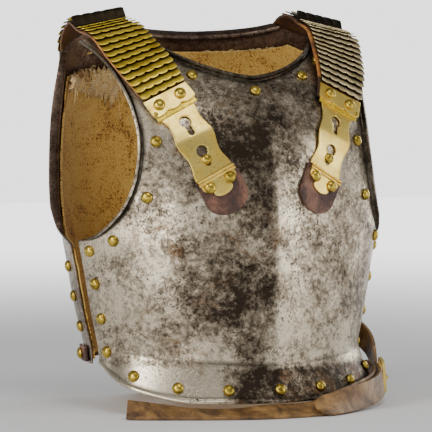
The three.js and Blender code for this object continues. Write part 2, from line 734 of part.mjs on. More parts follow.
function strapAnchor(row) {
  const height = row.height * PLATE_HEIGHT;
  if (row.plate) {
    const angle = angleAcross(row.plate, row.across * CHEST_HALF_WIDTH, height);
    const up = plateNormal(row.plate, angle, height);
    const place = platePoint(row.plate, angle, height)
      .addScaledVector(up, row.plate.wall / 2 + SEAT_GAP + row.rise * STRAP_RISE);
    return { place, up };
  }
  const place = new THREE.Vector3(row.across * CHEST_HALF_WIDTH, row.depth * BACK_DEPTH, height);
  const up = new THREE.Vector3(
    Math.tan(radians(row.outLean)), -Math.tan(radians(row.frontLean)), 1,
  ).normalize();
  return { place, up };
}

const strap = courseThrough(STRAP_COURSE.map(strapAnchor));
const crest = strap.anchorDistance(CREST_ROW);
const keyplateStart = TIP_LENGTH - TERMINAL_OVERHANG;
const keyplateEnd = keyplateStart + KEYPLATE_LENGTH;
const collarStart = keyplateEnd - COLLAR_OVERLAP;
const collarEnd = keyplateEnd + COLLAR_LENGTH;
const frontRows = Math.floor((crest - collarEnd - SCALE_TAIL) / SCALE_PITCH);
const rearPlateStart = strap.length - REAR_PLATE_LENGTH;
const rearRows = Math.floor((rearPlateStart - crest - SCALE_TAIL) / SCALE_PITCH);

function scaleBandGeometry() {
  const base = STRAP_LEATHER + SEAT_GAP;
  const stations = [];
  const rows = (count, way) => {
    const list = [];
    for (let row = 1; row <= count; row += 1) {
      const reach = row * SCALE_PITCH;
      list.push({ reach, height: SCALE_LIFT, lobe: SCALE_LOBE_DEPTH, way });
      list.push({ reach: reach + SCALE_STEP, height: SCALE_ROOT, lobe: SCALE_LOBE_DEPTH, way });
    }
    list.push({ reach: count * SCALE_PITCH + SCALE_TAIL, height: SCALE_ROOT, lobe: 0, way });
    return list;
  };
  stations.push(...rows(frontRows, -1).reverse());
  stations.push({ reach: 0, height: SCALE_ROOT, lobe: 0, way: 1 });
  stations.push(...rows(rearRows, 1));
  const columns = 2 * SCALE_LOBES;
  return loft(stations.map(({ reach, height, lobe, way }) => {
    const distance = crest + way * reach;
    const frame = strap.frameAt(distance);
    const half = strapHalfWidth(distance) - SCALE_MARGIN;
    const loop = [];
    for (let column = 0; column <= columns; column += 1) {
      const across = mix(-half, half, column / columns);
      const ahead = column % 2 === 1 ? way * lobe : 0;
      loop.push(offsetPoint(frame, across, base + height, ahead));
    }
    loop.push(offsetPoint(frame, half, base), offsetPoint(frame, -half, base));
    return loop;
  }));
}

function strapHalfWidth(distance) {
  return mix(COLLAR_HALF_WIDTH, STRAP_HALF_WIDTH, ease(collarEnd, collarEnd + STRAP_TAPER, distance));
}

// A keyhole: a round hole with a slot towards the strap's tip
function keyholeCutter(distance) {
  const opening = Math.asin(KEYHOLE_SLOT / KEYHOLE_RADIUS);
  const outline = new THREE.Shape();
  outline.absarc(0, 0, KEYHOLE_RADIUS, -Math.PI / 2 + opening, Math.PI * 1.5 - opening, false);
  outline.absarc(0, -KEYHOLE_LENGTH, KEYHOLE_SLOT, Math.PI, 2 * Math.PI, false);
  const depth = KEYHOLE_RADIUS * 2;
  const geometry = new THREE.ExtrudeGeometry(outline, { depth, bevelEnabled: false, curveSegments: 4 });
  const frame = strap.frameAt(distance);
  const basis = new THREE.Matrix4().makeBasis(frame.side, frame.along, frame.up);
  geometry.applyMatrix4(basis.setPosition(offsetPoint(frame, 0, -depth / 2)));
  return closedGeometry(geometry);
}

// One closed mesh with shared corners from a geometry whose faces have their own
function closedGeometry(geometry) {
  const source = geometry.index ? geometry.toNonIndexed() : geometry;
  const position = source.getAttribute('position');
  const keys = new Map();
  const positions = [];
  const corner = (index) => {
    const point = new THREE.Vector3().fromBufferAttribute(position, index);
    const key = [point.x, point.y, point.z].map((value) => Math.round(value * 1000)).join();
    if (!keys.has(key)) {
      keys.set(key, positions.length);
      positions.push(point);
    }
    return keys.get(key);
  };
  const triangles = [];
  for (let start = 0; start < position.count; start += 3) {
    const [a, b, c] = [corner(start), corner(start + 1), corner(start + 2)];
    if (a !== b && b !== c && c !== a) triangles.push([a, b, c]);
  }
  return geometryOf(positions, triangles);
}

const barEnd = keyplateStart - SEAT_GAP;
const terminalStart = barEnd - TERMINAL_LENGTH;
const KEYHOLE_SHARES = [0.32, 0.76];
const END_PLATE_STEP = 4;

// Two rivet heads on a strap plate, side by side
function plateRivets(distance, apart, above) {
  const frame = strap.frameAt(distance);
  return [-apart, apart].map((across) => (
    domeGeometry(offsetPoint(frame, across, above - RIVET_SINK), frame.up)));
}

// The leather bends at the same places as the scales and the rear plate that lie on it
function leatherGeometry() {
  const start = keyplateEnd + SEAT_GAP;
  const distances = [start];
  for (let row = -frontRows - 1; row <= rearRows; row += 1) {
    const distance = crest + row * SCALE_PITCH;
    if (distance > start + 2 && distance < rearPlateStart - 2) distances.push(distance);
  }
  distances.push(...evenSteps(rearPlateStart, strap.length, END_PLATE_STEP));
  return bandThrough(strap, distances, strapHalfWidth, 0, STRAP_LEATHER);
}

// A plate with two rivets over one end of the strap's leather
function endPlateGeometry(from, to, half) {
  const base = STRAP_LEATHER + SEAT_GAP;
  const plate = bandGeometry(strap, from, to, END_PLATE_STEP, () => half, base, base + BRASS_WALL);
  return fused([plate, ...plateRivets(mix(from, to, 0.5), half * 0.5, base + BRASS_WALL)]);
}

function keyplateGeometry() {
  const wave = (distance) => {
    const share = (distance - keyplateStart) / KEYPLATE_LENGTH;
    return KEYPLATE_HALF_WIDTH + KEYPLATE_WAVE * Math.cos(4 * Math.PI * share);
  };
  const plate = bandGeometry(strap, keyplateStart, keyplateEnd, 10, wave, 0, BRASS_WALL);
  const holes = KEYHOLE_SHARES.map((share) => keyholeCutter(keyplateStart + share * KEYPLATE_LENGTH));
  return cutAway(plate, holes);
}

function terminalGeometry() {
  const base = TIP_LEATHER + SEAT_GAP;
  const half = (distance) => {
    const share = (distance - terminalStart) / TERMINAL_LENGTH;
    return TERMINAL_HALF_WIDTH * mix(0.55, 1, ease(-0.2, 0.53, share));
  };
  const plate = bandGeometry(strap, terminalStart, barEnd, 5, half, base, base + BRASS_WALL);
  const low = base + BRASS_WALL - RIVET_SINK;
  const bar = bandGeometry(strap, barEnd - BAR_LENGTH, barEnd, BAR_LENGTH, half, low, low + BAR_HEIGHT);
  const middle = mix(terminalStart, barEnd, 0.5);
  return fused([plate, bar, ...plateRivets(middle, TERMINAL_HALF_WIDTH * 0.5, base + BRASS_WALL)]);
}

function tipGeometry() {
  return bandGeometry(strap, 0.4, barEnd, 4.5, roundTip(TIP_HALF_WIDTH, TIP_ROUND), 0, TIP_LEATHER);
}

// A stud stands on the breastplate through the lower keyhole's slot, with its head over the brass
function studGeometry() {
  const distance = keyplateStart + KEYHOLE_SHARES[0] * KEYPLATE_LENGTH - STUD_BELOW_HOLE;
  const frame = strap.frameAt(distance);
  const shank = KEYHOLE_SLOT - STUD_CLEARANCE;
  const foot = seatOn(breastplate, frame.place, frame.up, shank);
  const clear = offsetPoint(frame, 0, BRASS_WALL + SEAT_GAP).sub(foot).dot(frame.up);
  const head = domeProfile(STUD_RADIUS, STUD_HEIGHT).map(([radius, height]) => [radius, height + clear]);
  return turnedGeometry([[shank, 0], [shank, clear], ...head], 10, foot, frame.up);
}

const strapPieces = [
  ['strap_leather', leatherGeometry(), leather],
  ['scale_band', scaleBandGeometry(), brass],
  ['collar_plate', endPlateGeometry(collarStart, collarEnd - SEAT_GAP, COLLAR_HALF_WIDTH), brass],
  ['keyhole_plate', keyplateGeometry(), brass],
  ['terminal_plate', terminalGeometry(), brass],
  ['strap_tip', tipGeometry(), darkLeather],
  ['strap_stud', studGeometry(), brass],
  ['rear_plate', endPlateGeometry(rearPlateStart, strap.length, STRAP_HALF_WIDTH), brass],
];
for (const [hand, mirror] of MIRRORS) {
  for (const [name, geometry, finish] of strapPieces) {
    addPiece(`${hand}_${name}`, mirror < 0 ? mirrored(geometry) : geometry, finish());
  }
}

// Waist belt. Rows go round the foot of the breastplate by angle, negative towards the wearer's right.
// outset and lift are shares of BELT_WIDTH: out from the rim, and up from the surface it lies on.
const BELT_LONG = [
  { angle: 73, outset: 0.3, lift: 0.72, lean: 84 },
  { angle: 62, outset: 0.32, lift: 0.5, lean: 80 },
  { angle: 50, outset: 0.34, lift: 0.3, lean: 75 },
  { angle: 38, outset: 0.36, lift: 0.16, lean: 68 },
  { angle: 25, outset: 0.47, lift: 0, lean: 58 },
  { angle: 11, outset: 0.48, lift: 0, lean: 24 },
  { angle: -5, outset: 0.44, lift: 0, lean: 23 },
  { angle: -19, outset: 0.46, lift: 0, lean: 14 },
  { angle: -32, outset: 0.5, lift: 0, lean: 16 },
  { angle: -45, outset: 0.8, lift: 0, lean: 30 },
  { angle: -55, outset: 1.2, lift: 0, lean: 42 },
];
const BELT_END = [
  { angle: 9, outset: 0.86, lift: 0, lean: 34 },
  { angle: 18, outset: 0.78, lift: 0, lean: 50 },
  { angle: 30, outset: 0.7, lift: 0.05, lean: 74 },
  { angle: 41, outset: 0.64, lift: 0.15, lean: 82 },
  { angle: 51, outset: 0.58, lift: 0.27, lean: 82 },
  { angle: 59, outset: 0.54, lift: 0.42, lean: 82 },
  { angle: 66, outset: 0.52, lift: 0.58, lean: 84 },
];

function rimFrame(signedAngle, height) {
  const angle = Math.abs(signedAngle);
  const level = Math.max(height, levelAt(BREAST.rim, angle) + 0.5);
  const place = platePoint(BREAST, angle, level);
  const outward = plateNormal(BREAST, angle, level).setZ(0).normalize();
  if (signedAngle < 0) {
    place.x *= -1;
    outward.x *= -1;
  }
  return { place: place.setZ(height), outward };
}

function beltAnchor({ angle, outset, lift, lean }) {
  const sine = Math.sin(radians(lean));
  const cosine = Math.cos(radians(lean));
  const halfHeight = (BELT_WIDTH / 2) * sine + (BELT_WALL / 2) * cosine;
  const height = halfHeight - SKIRT_DROP + lift * BELT_WIDTH;
  const { place, outward } = rimFrame(angle, height);
  place.addScaledVector(outward, BREAST_WALL / 2 + outset * BELT_WIDTH);
  const up = outward.multiplyScalar(sine).add(new THREE.Vector3(0, 0, cosine));
  return { place, up };
}

const beltHalf = () => BELT_WIDTH / 2;
const beltBand = (course, from, to, half) => (
  bandGeometry(course, from, to, BELT_STEP, half, -BELT_WALL / 2, BELT_WALL / 2));

const beltLong = courseThrough(BELT_LONG.map(beltAnchor));
addPiece('belt_long', beltBand(beltLong, 0, beltLong.length, beltHalf), leather());

const beltEnd = courseThrough(BELT_END.map(beltAnchor));
const beltTip = roundTip(BELT_WIDTH / 2, BELT_TIP_ROUND);
addPiece('belt_end', beltBand(beltEnd, 0.4, beltEnd.length, beltTip), leather());

// The side strap is riveted to the backplate on the wearer's left and comes forward to the buckle.
// height is a share of PLATE_HEIGHT, rise a share of BELT_WIDTH above the plate.
const SIDE_STRAP = [
  { plate: BACK, angle: 69, height: 0.168, rise: 0.04 },
  { plate: BACK, angle: 78, height: 0.166, rise: 0.045 },
  { plate: BACK, angle: 86, height: 0.155, rise: 0.2 },
  { plate: BREAST, angle: 80, height: 0.11, rise: 0.62 },
];

function sideAnchor({ plate, angle, height, rise }) {
  const level = height * PLATE_HEIGHT;
  const up = plateNormal(plate, angle, level);
  const above = plate.wall / 2 + BELT_WALL / 2 + rise * BELT_WIDTH;
  return { place: platePoint(plate, angle, level).addScaledVector(up, above), up };
}

const joint = beltEnd.frameAt(beltEnd.length);
const jointAnchors = [BUCKLE_LENGTH * 0.45, BELT_JOINT_GAP].map((ahead) => (
  { place: offsetPoint(joint, 0, 0, ahead), up: joint.up }));
const sideStrap = courseThrough([...SIDE_STRAP.map(sideAnchor), ...jointAnchors]);
addPiece('belt_side_strap', beltBand(sideStrap, 0, sideStrap.length, beltHalf), leather());

// The buckle frame lies on the joint between the belt end and the side strap
function buckleFrame() {
  const { place, along, side, up } = beltEnd.frameAt(beltEnd.length);
  const reach = BUCKLE_LENGTH / 2 + BELT_STEP;
  const spots = [
    ...[0, 0.5, 1].map((share) => beltEnd.frameAt(beltEnd.length - share * reach)),
    ...[0, 0.5, 1].map((share) => sideStrap.frameAt(sideStrap.length - share * reach)),
  ];
  const rises = spots.flatMap((spot) => [-1, 1].map((way) => (
    offsetPoint(spot, way * BELT_WIDTH / 2, BELT_WALL / 2).sub(place).dot(up))));
  const seat = place.clone().addScaledVector(up, Math.max(...rises) + SEAT_GAP);
  return new THREE.Matrix4().makeBasis(along, side.negate(), up).setPosition(seat);
}

function roundedOutline(Kind, length, height, radius) {
  const outline = new Kind();
  const [x, y] = [length / 2 - radius, height / 2 - radius];
  outline.absarc(x, y, radius, 0, Math.PI / 2, false);
  outline.absarc(-x, y, radius, Math.PI / 2, Math.PI, false);
  outline.absarc(-x, -y, radius, Math.PI, 1.5 * Math.PI, false);
  outline.absarc(x, -y, radius, 1.5 * Math.PI, 2 * Math.PI, false);
  return outline;
}

function buckleGeometry() {
  const outline = roundedOutline(THREE.Shape, BUCKLE_LENGTH, BUCKLE_HEIGHT, BUCKLE_ROUND);
  const [length, height] = [BUCKLE_LENGTH - 2 * BUCKLE_BAR, BUCKLE_HEIGHT - 2 * BUCKLE_BAR];
  outline.holes.push(roundedOutline(THREE.Path, length, height, BUCKLE_ROUND - BUCKLE_BAR));
  const options = { depth: BUCKLE_WALL, bevelEnabled: false, curveSegments: 2 };
  const geometry = new THREE.ExtrudeGeometry(outline, options);
  geometry.applyMatrix4(buckleFrame());
  return closedGeometry(geometry);
}

function tongueGeometry() {
  const geometry = new THREE.BoxGeometry(BUCKLE_LENGTH * 0.93, TONGUE_WIDTH, TONGUE_WALL);
  geometry.translate(0, 0, BUCKLE_WALL + SEAT_GAP + TONGUE_WALL / 2);
  geometry.applyMatrix4(buckleFrame());
  return closedGeometry(geometry);
}
addPiece('buckle_frame', buckleGeometry(), brass());
addPiece('buckle_tongue', tongueGeometry(), brass());

function beltRivet(frame) {
  return domeGeometry(offsetPoint(frame, 0, BELT_WALL / 2 + SEAT_GAP), frame.up);
}
addPiece('belt_rivet', beltRivet(sideStrap.frameAt(SIDE_STRAP_RIVET_DISTANCE)), brass());

// What is left of the belt's other half: a stub at the foot of the backplate's right side
const STUB_ANCHORS = [
  { plate: BACK, angle: 68, height: 0.103, rise: 0.045 },
  { plate: BACK, angle: 76, height: 0.103, rise: 0.045 },
  { plate: BACK, angle: 84, height: 0.103, rise: 0.045 },
];
const stub = courseThrough(STUB_ANCHORS.map(sideAnchor));
const stubHalf = () => BELT_WIDTH * 0.32;
addPiece('belt_stub', mirrored(beltBand(stub, 0, stub.length, stubHalf)), darkLeather());
addPiece('belt_stub_rivet', mirrored(beltRivet(stub.frameAt(stub.length * 0.55))), brass());

// The origin is at the middle of the foot
const bounds = new THREE.Box3().setFromObject(cuirass, true);
const centre = bounds.getCenter(new THREE.Vector3());
cuirass.position.set(-centre.x, -centre.y, -bounds.min.z);

export default cuirass;
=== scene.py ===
# A cuirass: steel breastplate and backplate, canvas linings, brass-scaled shoulder straps and a waist belt.
# Shapes are worked out in millimetres, with heights from the breastplate's rim, and then moved to the
# row frame.
import math

import bmesh
import bpy
import numpy as np
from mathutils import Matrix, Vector, noise
from mathutils.geometry import delaunay_2d_cdt


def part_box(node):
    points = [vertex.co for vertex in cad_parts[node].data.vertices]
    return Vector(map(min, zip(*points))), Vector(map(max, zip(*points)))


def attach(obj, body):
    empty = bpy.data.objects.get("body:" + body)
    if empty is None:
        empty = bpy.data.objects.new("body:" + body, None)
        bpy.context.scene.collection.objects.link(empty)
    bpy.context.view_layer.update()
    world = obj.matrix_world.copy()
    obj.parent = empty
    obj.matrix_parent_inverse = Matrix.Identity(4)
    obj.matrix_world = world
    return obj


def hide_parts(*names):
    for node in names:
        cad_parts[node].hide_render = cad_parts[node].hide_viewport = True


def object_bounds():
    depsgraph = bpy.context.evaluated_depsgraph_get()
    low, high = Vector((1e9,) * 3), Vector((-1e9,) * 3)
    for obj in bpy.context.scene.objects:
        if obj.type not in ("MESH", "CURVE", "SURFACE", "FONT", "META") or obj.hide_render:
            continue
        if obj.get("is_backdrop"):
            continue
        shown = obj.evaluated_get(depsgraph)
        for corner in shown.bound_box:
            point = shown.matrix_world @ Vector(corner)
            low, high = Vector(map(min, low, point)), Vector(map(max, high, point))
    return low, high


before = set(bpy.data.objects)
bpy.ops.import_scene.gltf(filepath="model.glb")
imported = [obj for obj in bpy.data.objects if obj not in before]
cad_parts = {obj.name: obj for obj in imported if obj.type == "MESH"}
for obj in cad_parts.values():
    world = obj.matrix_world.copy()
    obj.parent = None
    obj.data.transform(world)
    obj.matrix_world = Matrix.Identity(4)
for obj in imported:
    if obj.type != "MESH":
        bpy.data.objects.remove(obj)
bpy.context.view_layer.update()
MM = 0.001

# Driving dimensions, the same as the solids have
CHEST_HALF_WIDTH = 182
FRONT_DEPTH = 133
BACK_DEPTH = 136
PLATE_HEIGHT = 430
BREAST_WALL = 3
BACK_WALL = 1.8
RIDGE_HEIGHT = 7
RIDGE_HALF_WIDTH = 85
SKIRT_DROP = 14
SEAT_GAP = 0.3
LIP_TURN = 82
LINING_WALL = 1.4
LINING_GAP = 1.3
HEAD_RADIUS, HEAD_HEIGHT = 6.4, 5
RIVET_INSET = 13
SIDE_RIVET_INSET = 25
STRAP_LEATHER = 2.6
STRAP_HALF_WIDTH = 31
COLLAR_HALF_WIDTH = 27
SCALE_PITCH = 9
SCALE_LOBES = 5
SCALE_TAIL = 3.5
COLLAR_LENGTH = 20
REAR_PLATE_LENGTH = 21
BRASS_WALL = 1.4
KEYPLATE_HALF_WIDTH = 20
KEYPLATE_LENGTH = 82
KEYHOLE_LENGTH = 14
TERMINAL_HALF_WIDTH = 22
TIP_LENGTH = 55
TIP_LEATHER = 3.2
TIP_HALF_WIDTH = 24
TERMINAL_OVERHANG = 8
BELT_WIDTH = 26
BELT_WALL = 3.4
BUCKLE_LENGTH = 30
MAX_ANGLE = 89
DEGREE_SPAN = math.radians(CHEST_HALF_WIDTH)

# Torso sections from the rim up, as shares of the sizes above
TORSO_KEYS = ["height", "half", "front", "back", "middle", "front_square", "back_square"]
TORSO_ROWS = [
    [-0.10, 0.830, 0.985, 0.930, 0.000, 2.00, 2.30],
    [0.10, 0.840, 0.985, 0.930, 0.000, 2.00, 2.30],
    [0.22, 0.895, 0.992, 0.970, 0.000, 2.00, 2.40],
    [0.30, 0.930, 0.998, 1.000, 0.000, 2.00, 2.40],
    [0.42, 0.980, 1.000, 1.010, 0.004, 2.00, 2.40],
    [0.54, 1.000, 0.985, 1.000, 0.020, 2.05, 2.40],
    [0.66, 0.985, 0.905, 0.950, 0.060, 2.20, 2.40],
    [0.74, 0.965, 0.770, 0.860, 0.095, 2.35, 2.40],
    [0.81, 0.950, 0.600, 0.735, 0.135, 2.50, 2.40],
    [0.88, 0.940, 0.360, 0.555, 0.190, 2.50, 2.30],
    [0.94, 0.925, 0.130, 0.380, 0.250, 2.30, 2.20],
    [1.00, 0.900, 0.020, 0.200, 0.300, 2.10, 2.10],
]
TORSO = {key: np.array([row[i] for row in TORSO_ROWS]) for i, key in enumerate(TORSO_KEYS)}

BREAST = {
    "face": -1, "wall": BREAST_WALL, "lip": (4, 3.5), "side_angle": 84.5, "flare": 17, "fade": (55, 84),
    "neck": (36.5, 0.786, 1.3), "shoulder": 0.92,
    "rim": (0, 0, 0.0837, 30, 84, 1.5), "crease": (0, 0.0884, 0.0419, 0, 84, 1.5),
    "armhole": [(84.5, 0.395), (70, 0.407), (56.5, 0.455), (48.5, 0.53), (45, 0.62), (45, 0.69),
                (47.5, 0.76), (53, 0.825), (61, 0.866), (71, 0.893)],
}
BACK = {
    "face": 1, "wall": BACK_WALL, "lip": (4, 7), "side_angle": 87, "flare": 6, "fade": (14, 48),
    "neck": (38, 0.905, 1.6), "shoulder": 0.94,
    "rim": (SKIRT_DROP, 0, 0.112, 11, 38, 1.3), "crease": (0, 0.065, 0.0744, 8, 45, 1.2),
    "armhole": [(87, 0.385), (77, 0.405), (72, 0.46), (70.5, 0.56), (70.5, 0.68), (71, 0.78),
                (73, 0.84), (78, 0.872)],
}


def ease(low, high, x):
    t = np.clip((np.asarray(x, float) - low) / (high - low), 0, 1)
    return t * t * (3 - 2 * t)


def unit(v):
    return v / np.maximum(np.linalg.norm(v, axis=-1, keepdims=True), 1e-12)


def torso(key, at):
    """A smooth value through the sections at height shares."""
    heights, values = TORSO["height"], TORSO[key]
    last = len(heights) - 1
    row = np.clip(np.searchsorted(heights, at, side="right") - 1, 0, last - 1)
    before, after = np.maximum(np.arange(last + 1) - 1, 0), np.minimum(np.arange(last + 1) + 1, last)
    slopes = (values[after] - values[before]) / (heights[after] - heights[before])
    span = heights[row + 1] - heights[row]
    t = np.clip((at - heights[row]) / span, 0, 1)
    t2, t3 = t * t, t * t * t
    start = values[row] * (2 * t3 - 3 * t2 + 1) + slopes[row] * span * (t3 - 2 * t2 + t)
    return start + values[row + 1] * (3 * t2 - 2 * t3) + slopes[row + 1] * span * (t3 - t2)


def level_at(level, angle):
    drop, base, rise, low, high, power = level
    return PLATE_HEIGHT * (base + rise * np.clip((angle - low) / (high - low), 0, 1) ** power) - drop


FOLD_SOFTNESS = 0.003


def plate_point(plate, angle, height):
    """Points of a plate's middle surface."""
    angle, height = np.broadcast_arrays(np.asarray(angle, float), np.asarray(height, float))
    share = height / PLATE_HEIGHT
    front = plate["face"] < 0
    half = CHEST_HALF_WIDTH * torso("half", share)
    middle = BACK_DEPTH * torso("middle", share)
    reach = FRONT_DEPTH * torso("front", share) if front else BACK_DEPTH * torso("back", share)
    power = 2 / torso("front_square" if front else "back_square", share)
    ridge = RIDGE_HEIGHT * (1 - ease(0.42, 0.75, share)) if front else 0 * share
    sine, cosine = np.sin(np.radians(angle)), np.abs(np.cos(np.radians(angle)))
    crease, rim = level_at(plate["crease"], angle), level_at(plate["rim"], angle)
    low = (crease - height) / (crease - rim)
    low = np.clip((low + np.sqrt(low * low + FOLD_SOFTNESS)) / 2, 0, 1)
    flare = plate["flare"] * low * (1 - ease(*plate["fade"], angle))
    across = half * sine ** power
    fold = ridge * np.clip(1 - across / RIDGE_HALF_WIDTH, 0, 1) ** 2
    out = (reach - ridge) * cosine ** power + fold + cosine * flare
    return np.stack([across + sine * flare, middle + plate["face"] * out, height], -1)


def plate_normal(plate, angle, height):
    angle, height = np.broadcast_arrays(np.asarray(angle, float), np.asarray(height, float))
    along = plate_point(plate, np.minimum(angle + 0.5, MAX_ANGLE), height)
    along = along - plate_point(plate, np.maximum(angle - 0.5, 0), height)
    up = plate_point(plate, angle, height + 1.5) - plate_point(plate, angle, height - 1.5)
    normal = -plate["face"] * np.cross(along, up)
    normal[..., 0] = np.where(angle < 1e-6, 0, normal[..., 0])
    return unit(normal)


def angle_across(plate, across, height):
    low, high = 0.0, float(MAX_ANGLE)
    for _ in range(26):
        middle = (low + high) / 2
        if plate_point(plate, middle, height)[0] < across:
            low = middle
        else:
            high = middle
    return (low + high) / 2


# The breastplate's rim is where the solids have it
breast_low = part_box("breastplate")[0]
rim_front = plate_point(BREAST, 0.0, 0.0)
SHIFT = np.array([0, breast_low.y / MM - (rim_front[1] - BREAST_WALL / 2), breast_low.z / MM])


def to_row(points):
    return (np.asarray(points, float) + SHIFT) * MM


def spline_2d(points, shares):
    """Even steps along a smooth line through points."""
    points = np.array(points, float)
    count = len(points)
    places = []
    for t in np.linspace(0, count - 1, 60 * (count - 1) + 1):
        i = min(int(t), count - 2)
        w = t - i
        p0, p1 = points[max(i - 1, 0)], points[i]
        p2, p3 = points[i + 1], points[min(i + 2, count - 1)]
        v0, v1 = (p2 - p0) / 2, (p3 - p1) / 2
        cubic, square = 2 * p1 - 2 * p2 + v0 + v1, -3 * p1 + 3 * p2 - 2 * v0 - v1
        places.append(cubic * w ** 3 + square * w * w + v0 * w + p1)
    places = np.array(places)
    run = np.concatenate([[0], np.cumsum(np.linalg.norm(np.diff(places, axis=0), axis=1))])
    at = np.asarray(shares) * run[-1]
    return np.stack([np.interp(at, run, places[:, 0]), np.interp(at, run, places[:, 1])], -1)


def neck_edge(plate, share, trim=0, top_trim=0):
    angle, floor, power = plate["neck"]
    turn = np.radians(90 * np.asarray(share, float))
    top = PLATE_HEIGHT * plate["shoulder"] - top_trim
    bottom = PLATE_HEIGHT * floor - trim
    edge = (angle + trim / DEGREE_SPAN) * np.sin(turn) ** (2 / power)
    return edge, bottom + (top - bottom) * (1 - np.abs(np.cos(turn)) ** (2 / power))


def armhole_edge(plate, share, trim=0, top_trim=0):
    points = []
    rows = plate["armhole"]
    for i, (angle, height) in enumerate(rows):
        inward = 0 if i == 0 else trim / DEGREE_SPAN
        drop = (trim if i < 3 else 0) + (top_trim if i == len(rows) - 1 else 0)
        points.append(((angle - inward) * DEGREE_SPAN, height * PLATE_HEIGHT - drop))
    line = spline_2d(points, share)
    return line[..., 0] / DEGREE_SPAN, line[..., 1]


# Grid steps of the fine plates
COLUMNS = 56
FLANGE = np.concatenate([[0, 0.012, 0.025, 0.04, 0.055, 0.075, 0.1, 0.13], np.linspace(0.18, 1, 16)])
BODY_ROWS, NECK_ROW, ARM_ROW = 98, 63, 21
CREASE_ROW = len(FLANGE) - 1


def half_grid(plate, trim=(0, 0, 0, 0)):
    """Angles and heights of half a plate, rows from the rim up. trim is neck, arm, top and rim."""
    neck_trim, arm_trim, top_trim, rim_trim = trim
    share = np.linspace(0, 1, COLUMNS + 1)
    side = plate["side_angle"]
    angles, heights = [], []
    for part in FLANGE:
        angle = side * share
        rim = level_at(plate["rim"], angle) + rim_trim
        angles.append(angle)
        heights.append(rim + (level_at(plate["crease"], angle) - rim) * part)
    crease_middle, crease_side = level_at(plate["crease"], 0), level_at(plate["crease"], side)
    neck_floor = neck_edge(plate, 0, neck_trim, top_trim)[1]
    arm_floor = float(armhole_edge(plate, np.array([0.0]), arm_trim, top_trim)[1][0])
    for step in range(1, BODY_ROWS + 1):
        if step <= NECK_ROW:
            inner = (0, crease_middle + (neck_floor - crease_middle) * step / NECK_ROW)
        else:
            inner = neck_edge(plate, (step - NECK_ROW) / (BODY_ROWS - NECK_ROW), neck_trim, top_trim)
        if step <= ARM_ROW:
            outer = (side, crease_side + (arm_floor - crease_side) * step / ARM_ROW)
        else:
            at = np.array([(step - ARM_ROW) / (BODY_ROWS - ARM_ROW)])
            outer = [v[0] for v in armhole_edge(plate, at, arm_trim, top_trim)]
        angle = inner[0] + (outer[0] - inner[0]) * share
        level = crease_middle + (crease_side - crease_middle) * share
        follow = (level_at(plate["crease"], angle) - level) * (1 - step / BODY_ROWS) ** 3
        angles.append(angle)
        heights.append(inner[1] + (outer[1] - inner[1]) * share + follow)
    return np.array(angles), np.array(heights)


# A lip grows over its first share from a corner, and shrinks to its end size over its last share
LIP_GROWTH, LIP_LAST, LIP_END_SIZE = 0.27, 0.7, 0.6
# Steps across a lip: a turn in degrees, and a share of its straight end
LIP_STEPS = [(turn, 0) for turn in np.linspace(0, LIP_TURN, 9)] + [(LIP_TURN, share) for share in (0.5, 1)]


def lip_sizes(count, from_corner):
    index = np.arange(count)
    grow = np.minimum(index / (count * LIP_GROWTH), 1) if from_corner else np.ones(count)
    return grow * (1 + (LIP_END_SIZE - 1) * ease(LIP_LAST, 1, index / (count - 1)))


def lip_grid(points, normals, first, column, lip, from_corner):
    radius, straight = lip
    here, normal = points[first:, column], normals[first:, column]
    inner = points[first:, 1 if column == 0 else column - 1] - here
    tangent = np.gradient(here, axis=0)
    if column == 0:
        tangent[0] = (1, 0, 0)
        inner[0] = (0, 0, -1)
    outward = unit(np.cross(tangent, normal))
    outward = np.where((outward * inner).sum(-1, keepdims=True) > 0, -outward, outward)
    size = lip_sizes(len(here), from_corner)[:, None]
    columns = []
    for turn, share in LIP_STEPS:
        angle = np.radians(turn) * np.minimum(size * 1.6, 1)
        reach, extra = radius * size, straight * share
        columns.append(
            here + outward * (reach * np.sin(angle) + extra * size * np.cos(angle))
            + normal * (reach * (1 - np.cos(angle)) + extra * size * np.sin(angle)))
    return np.stack(columns, 1)


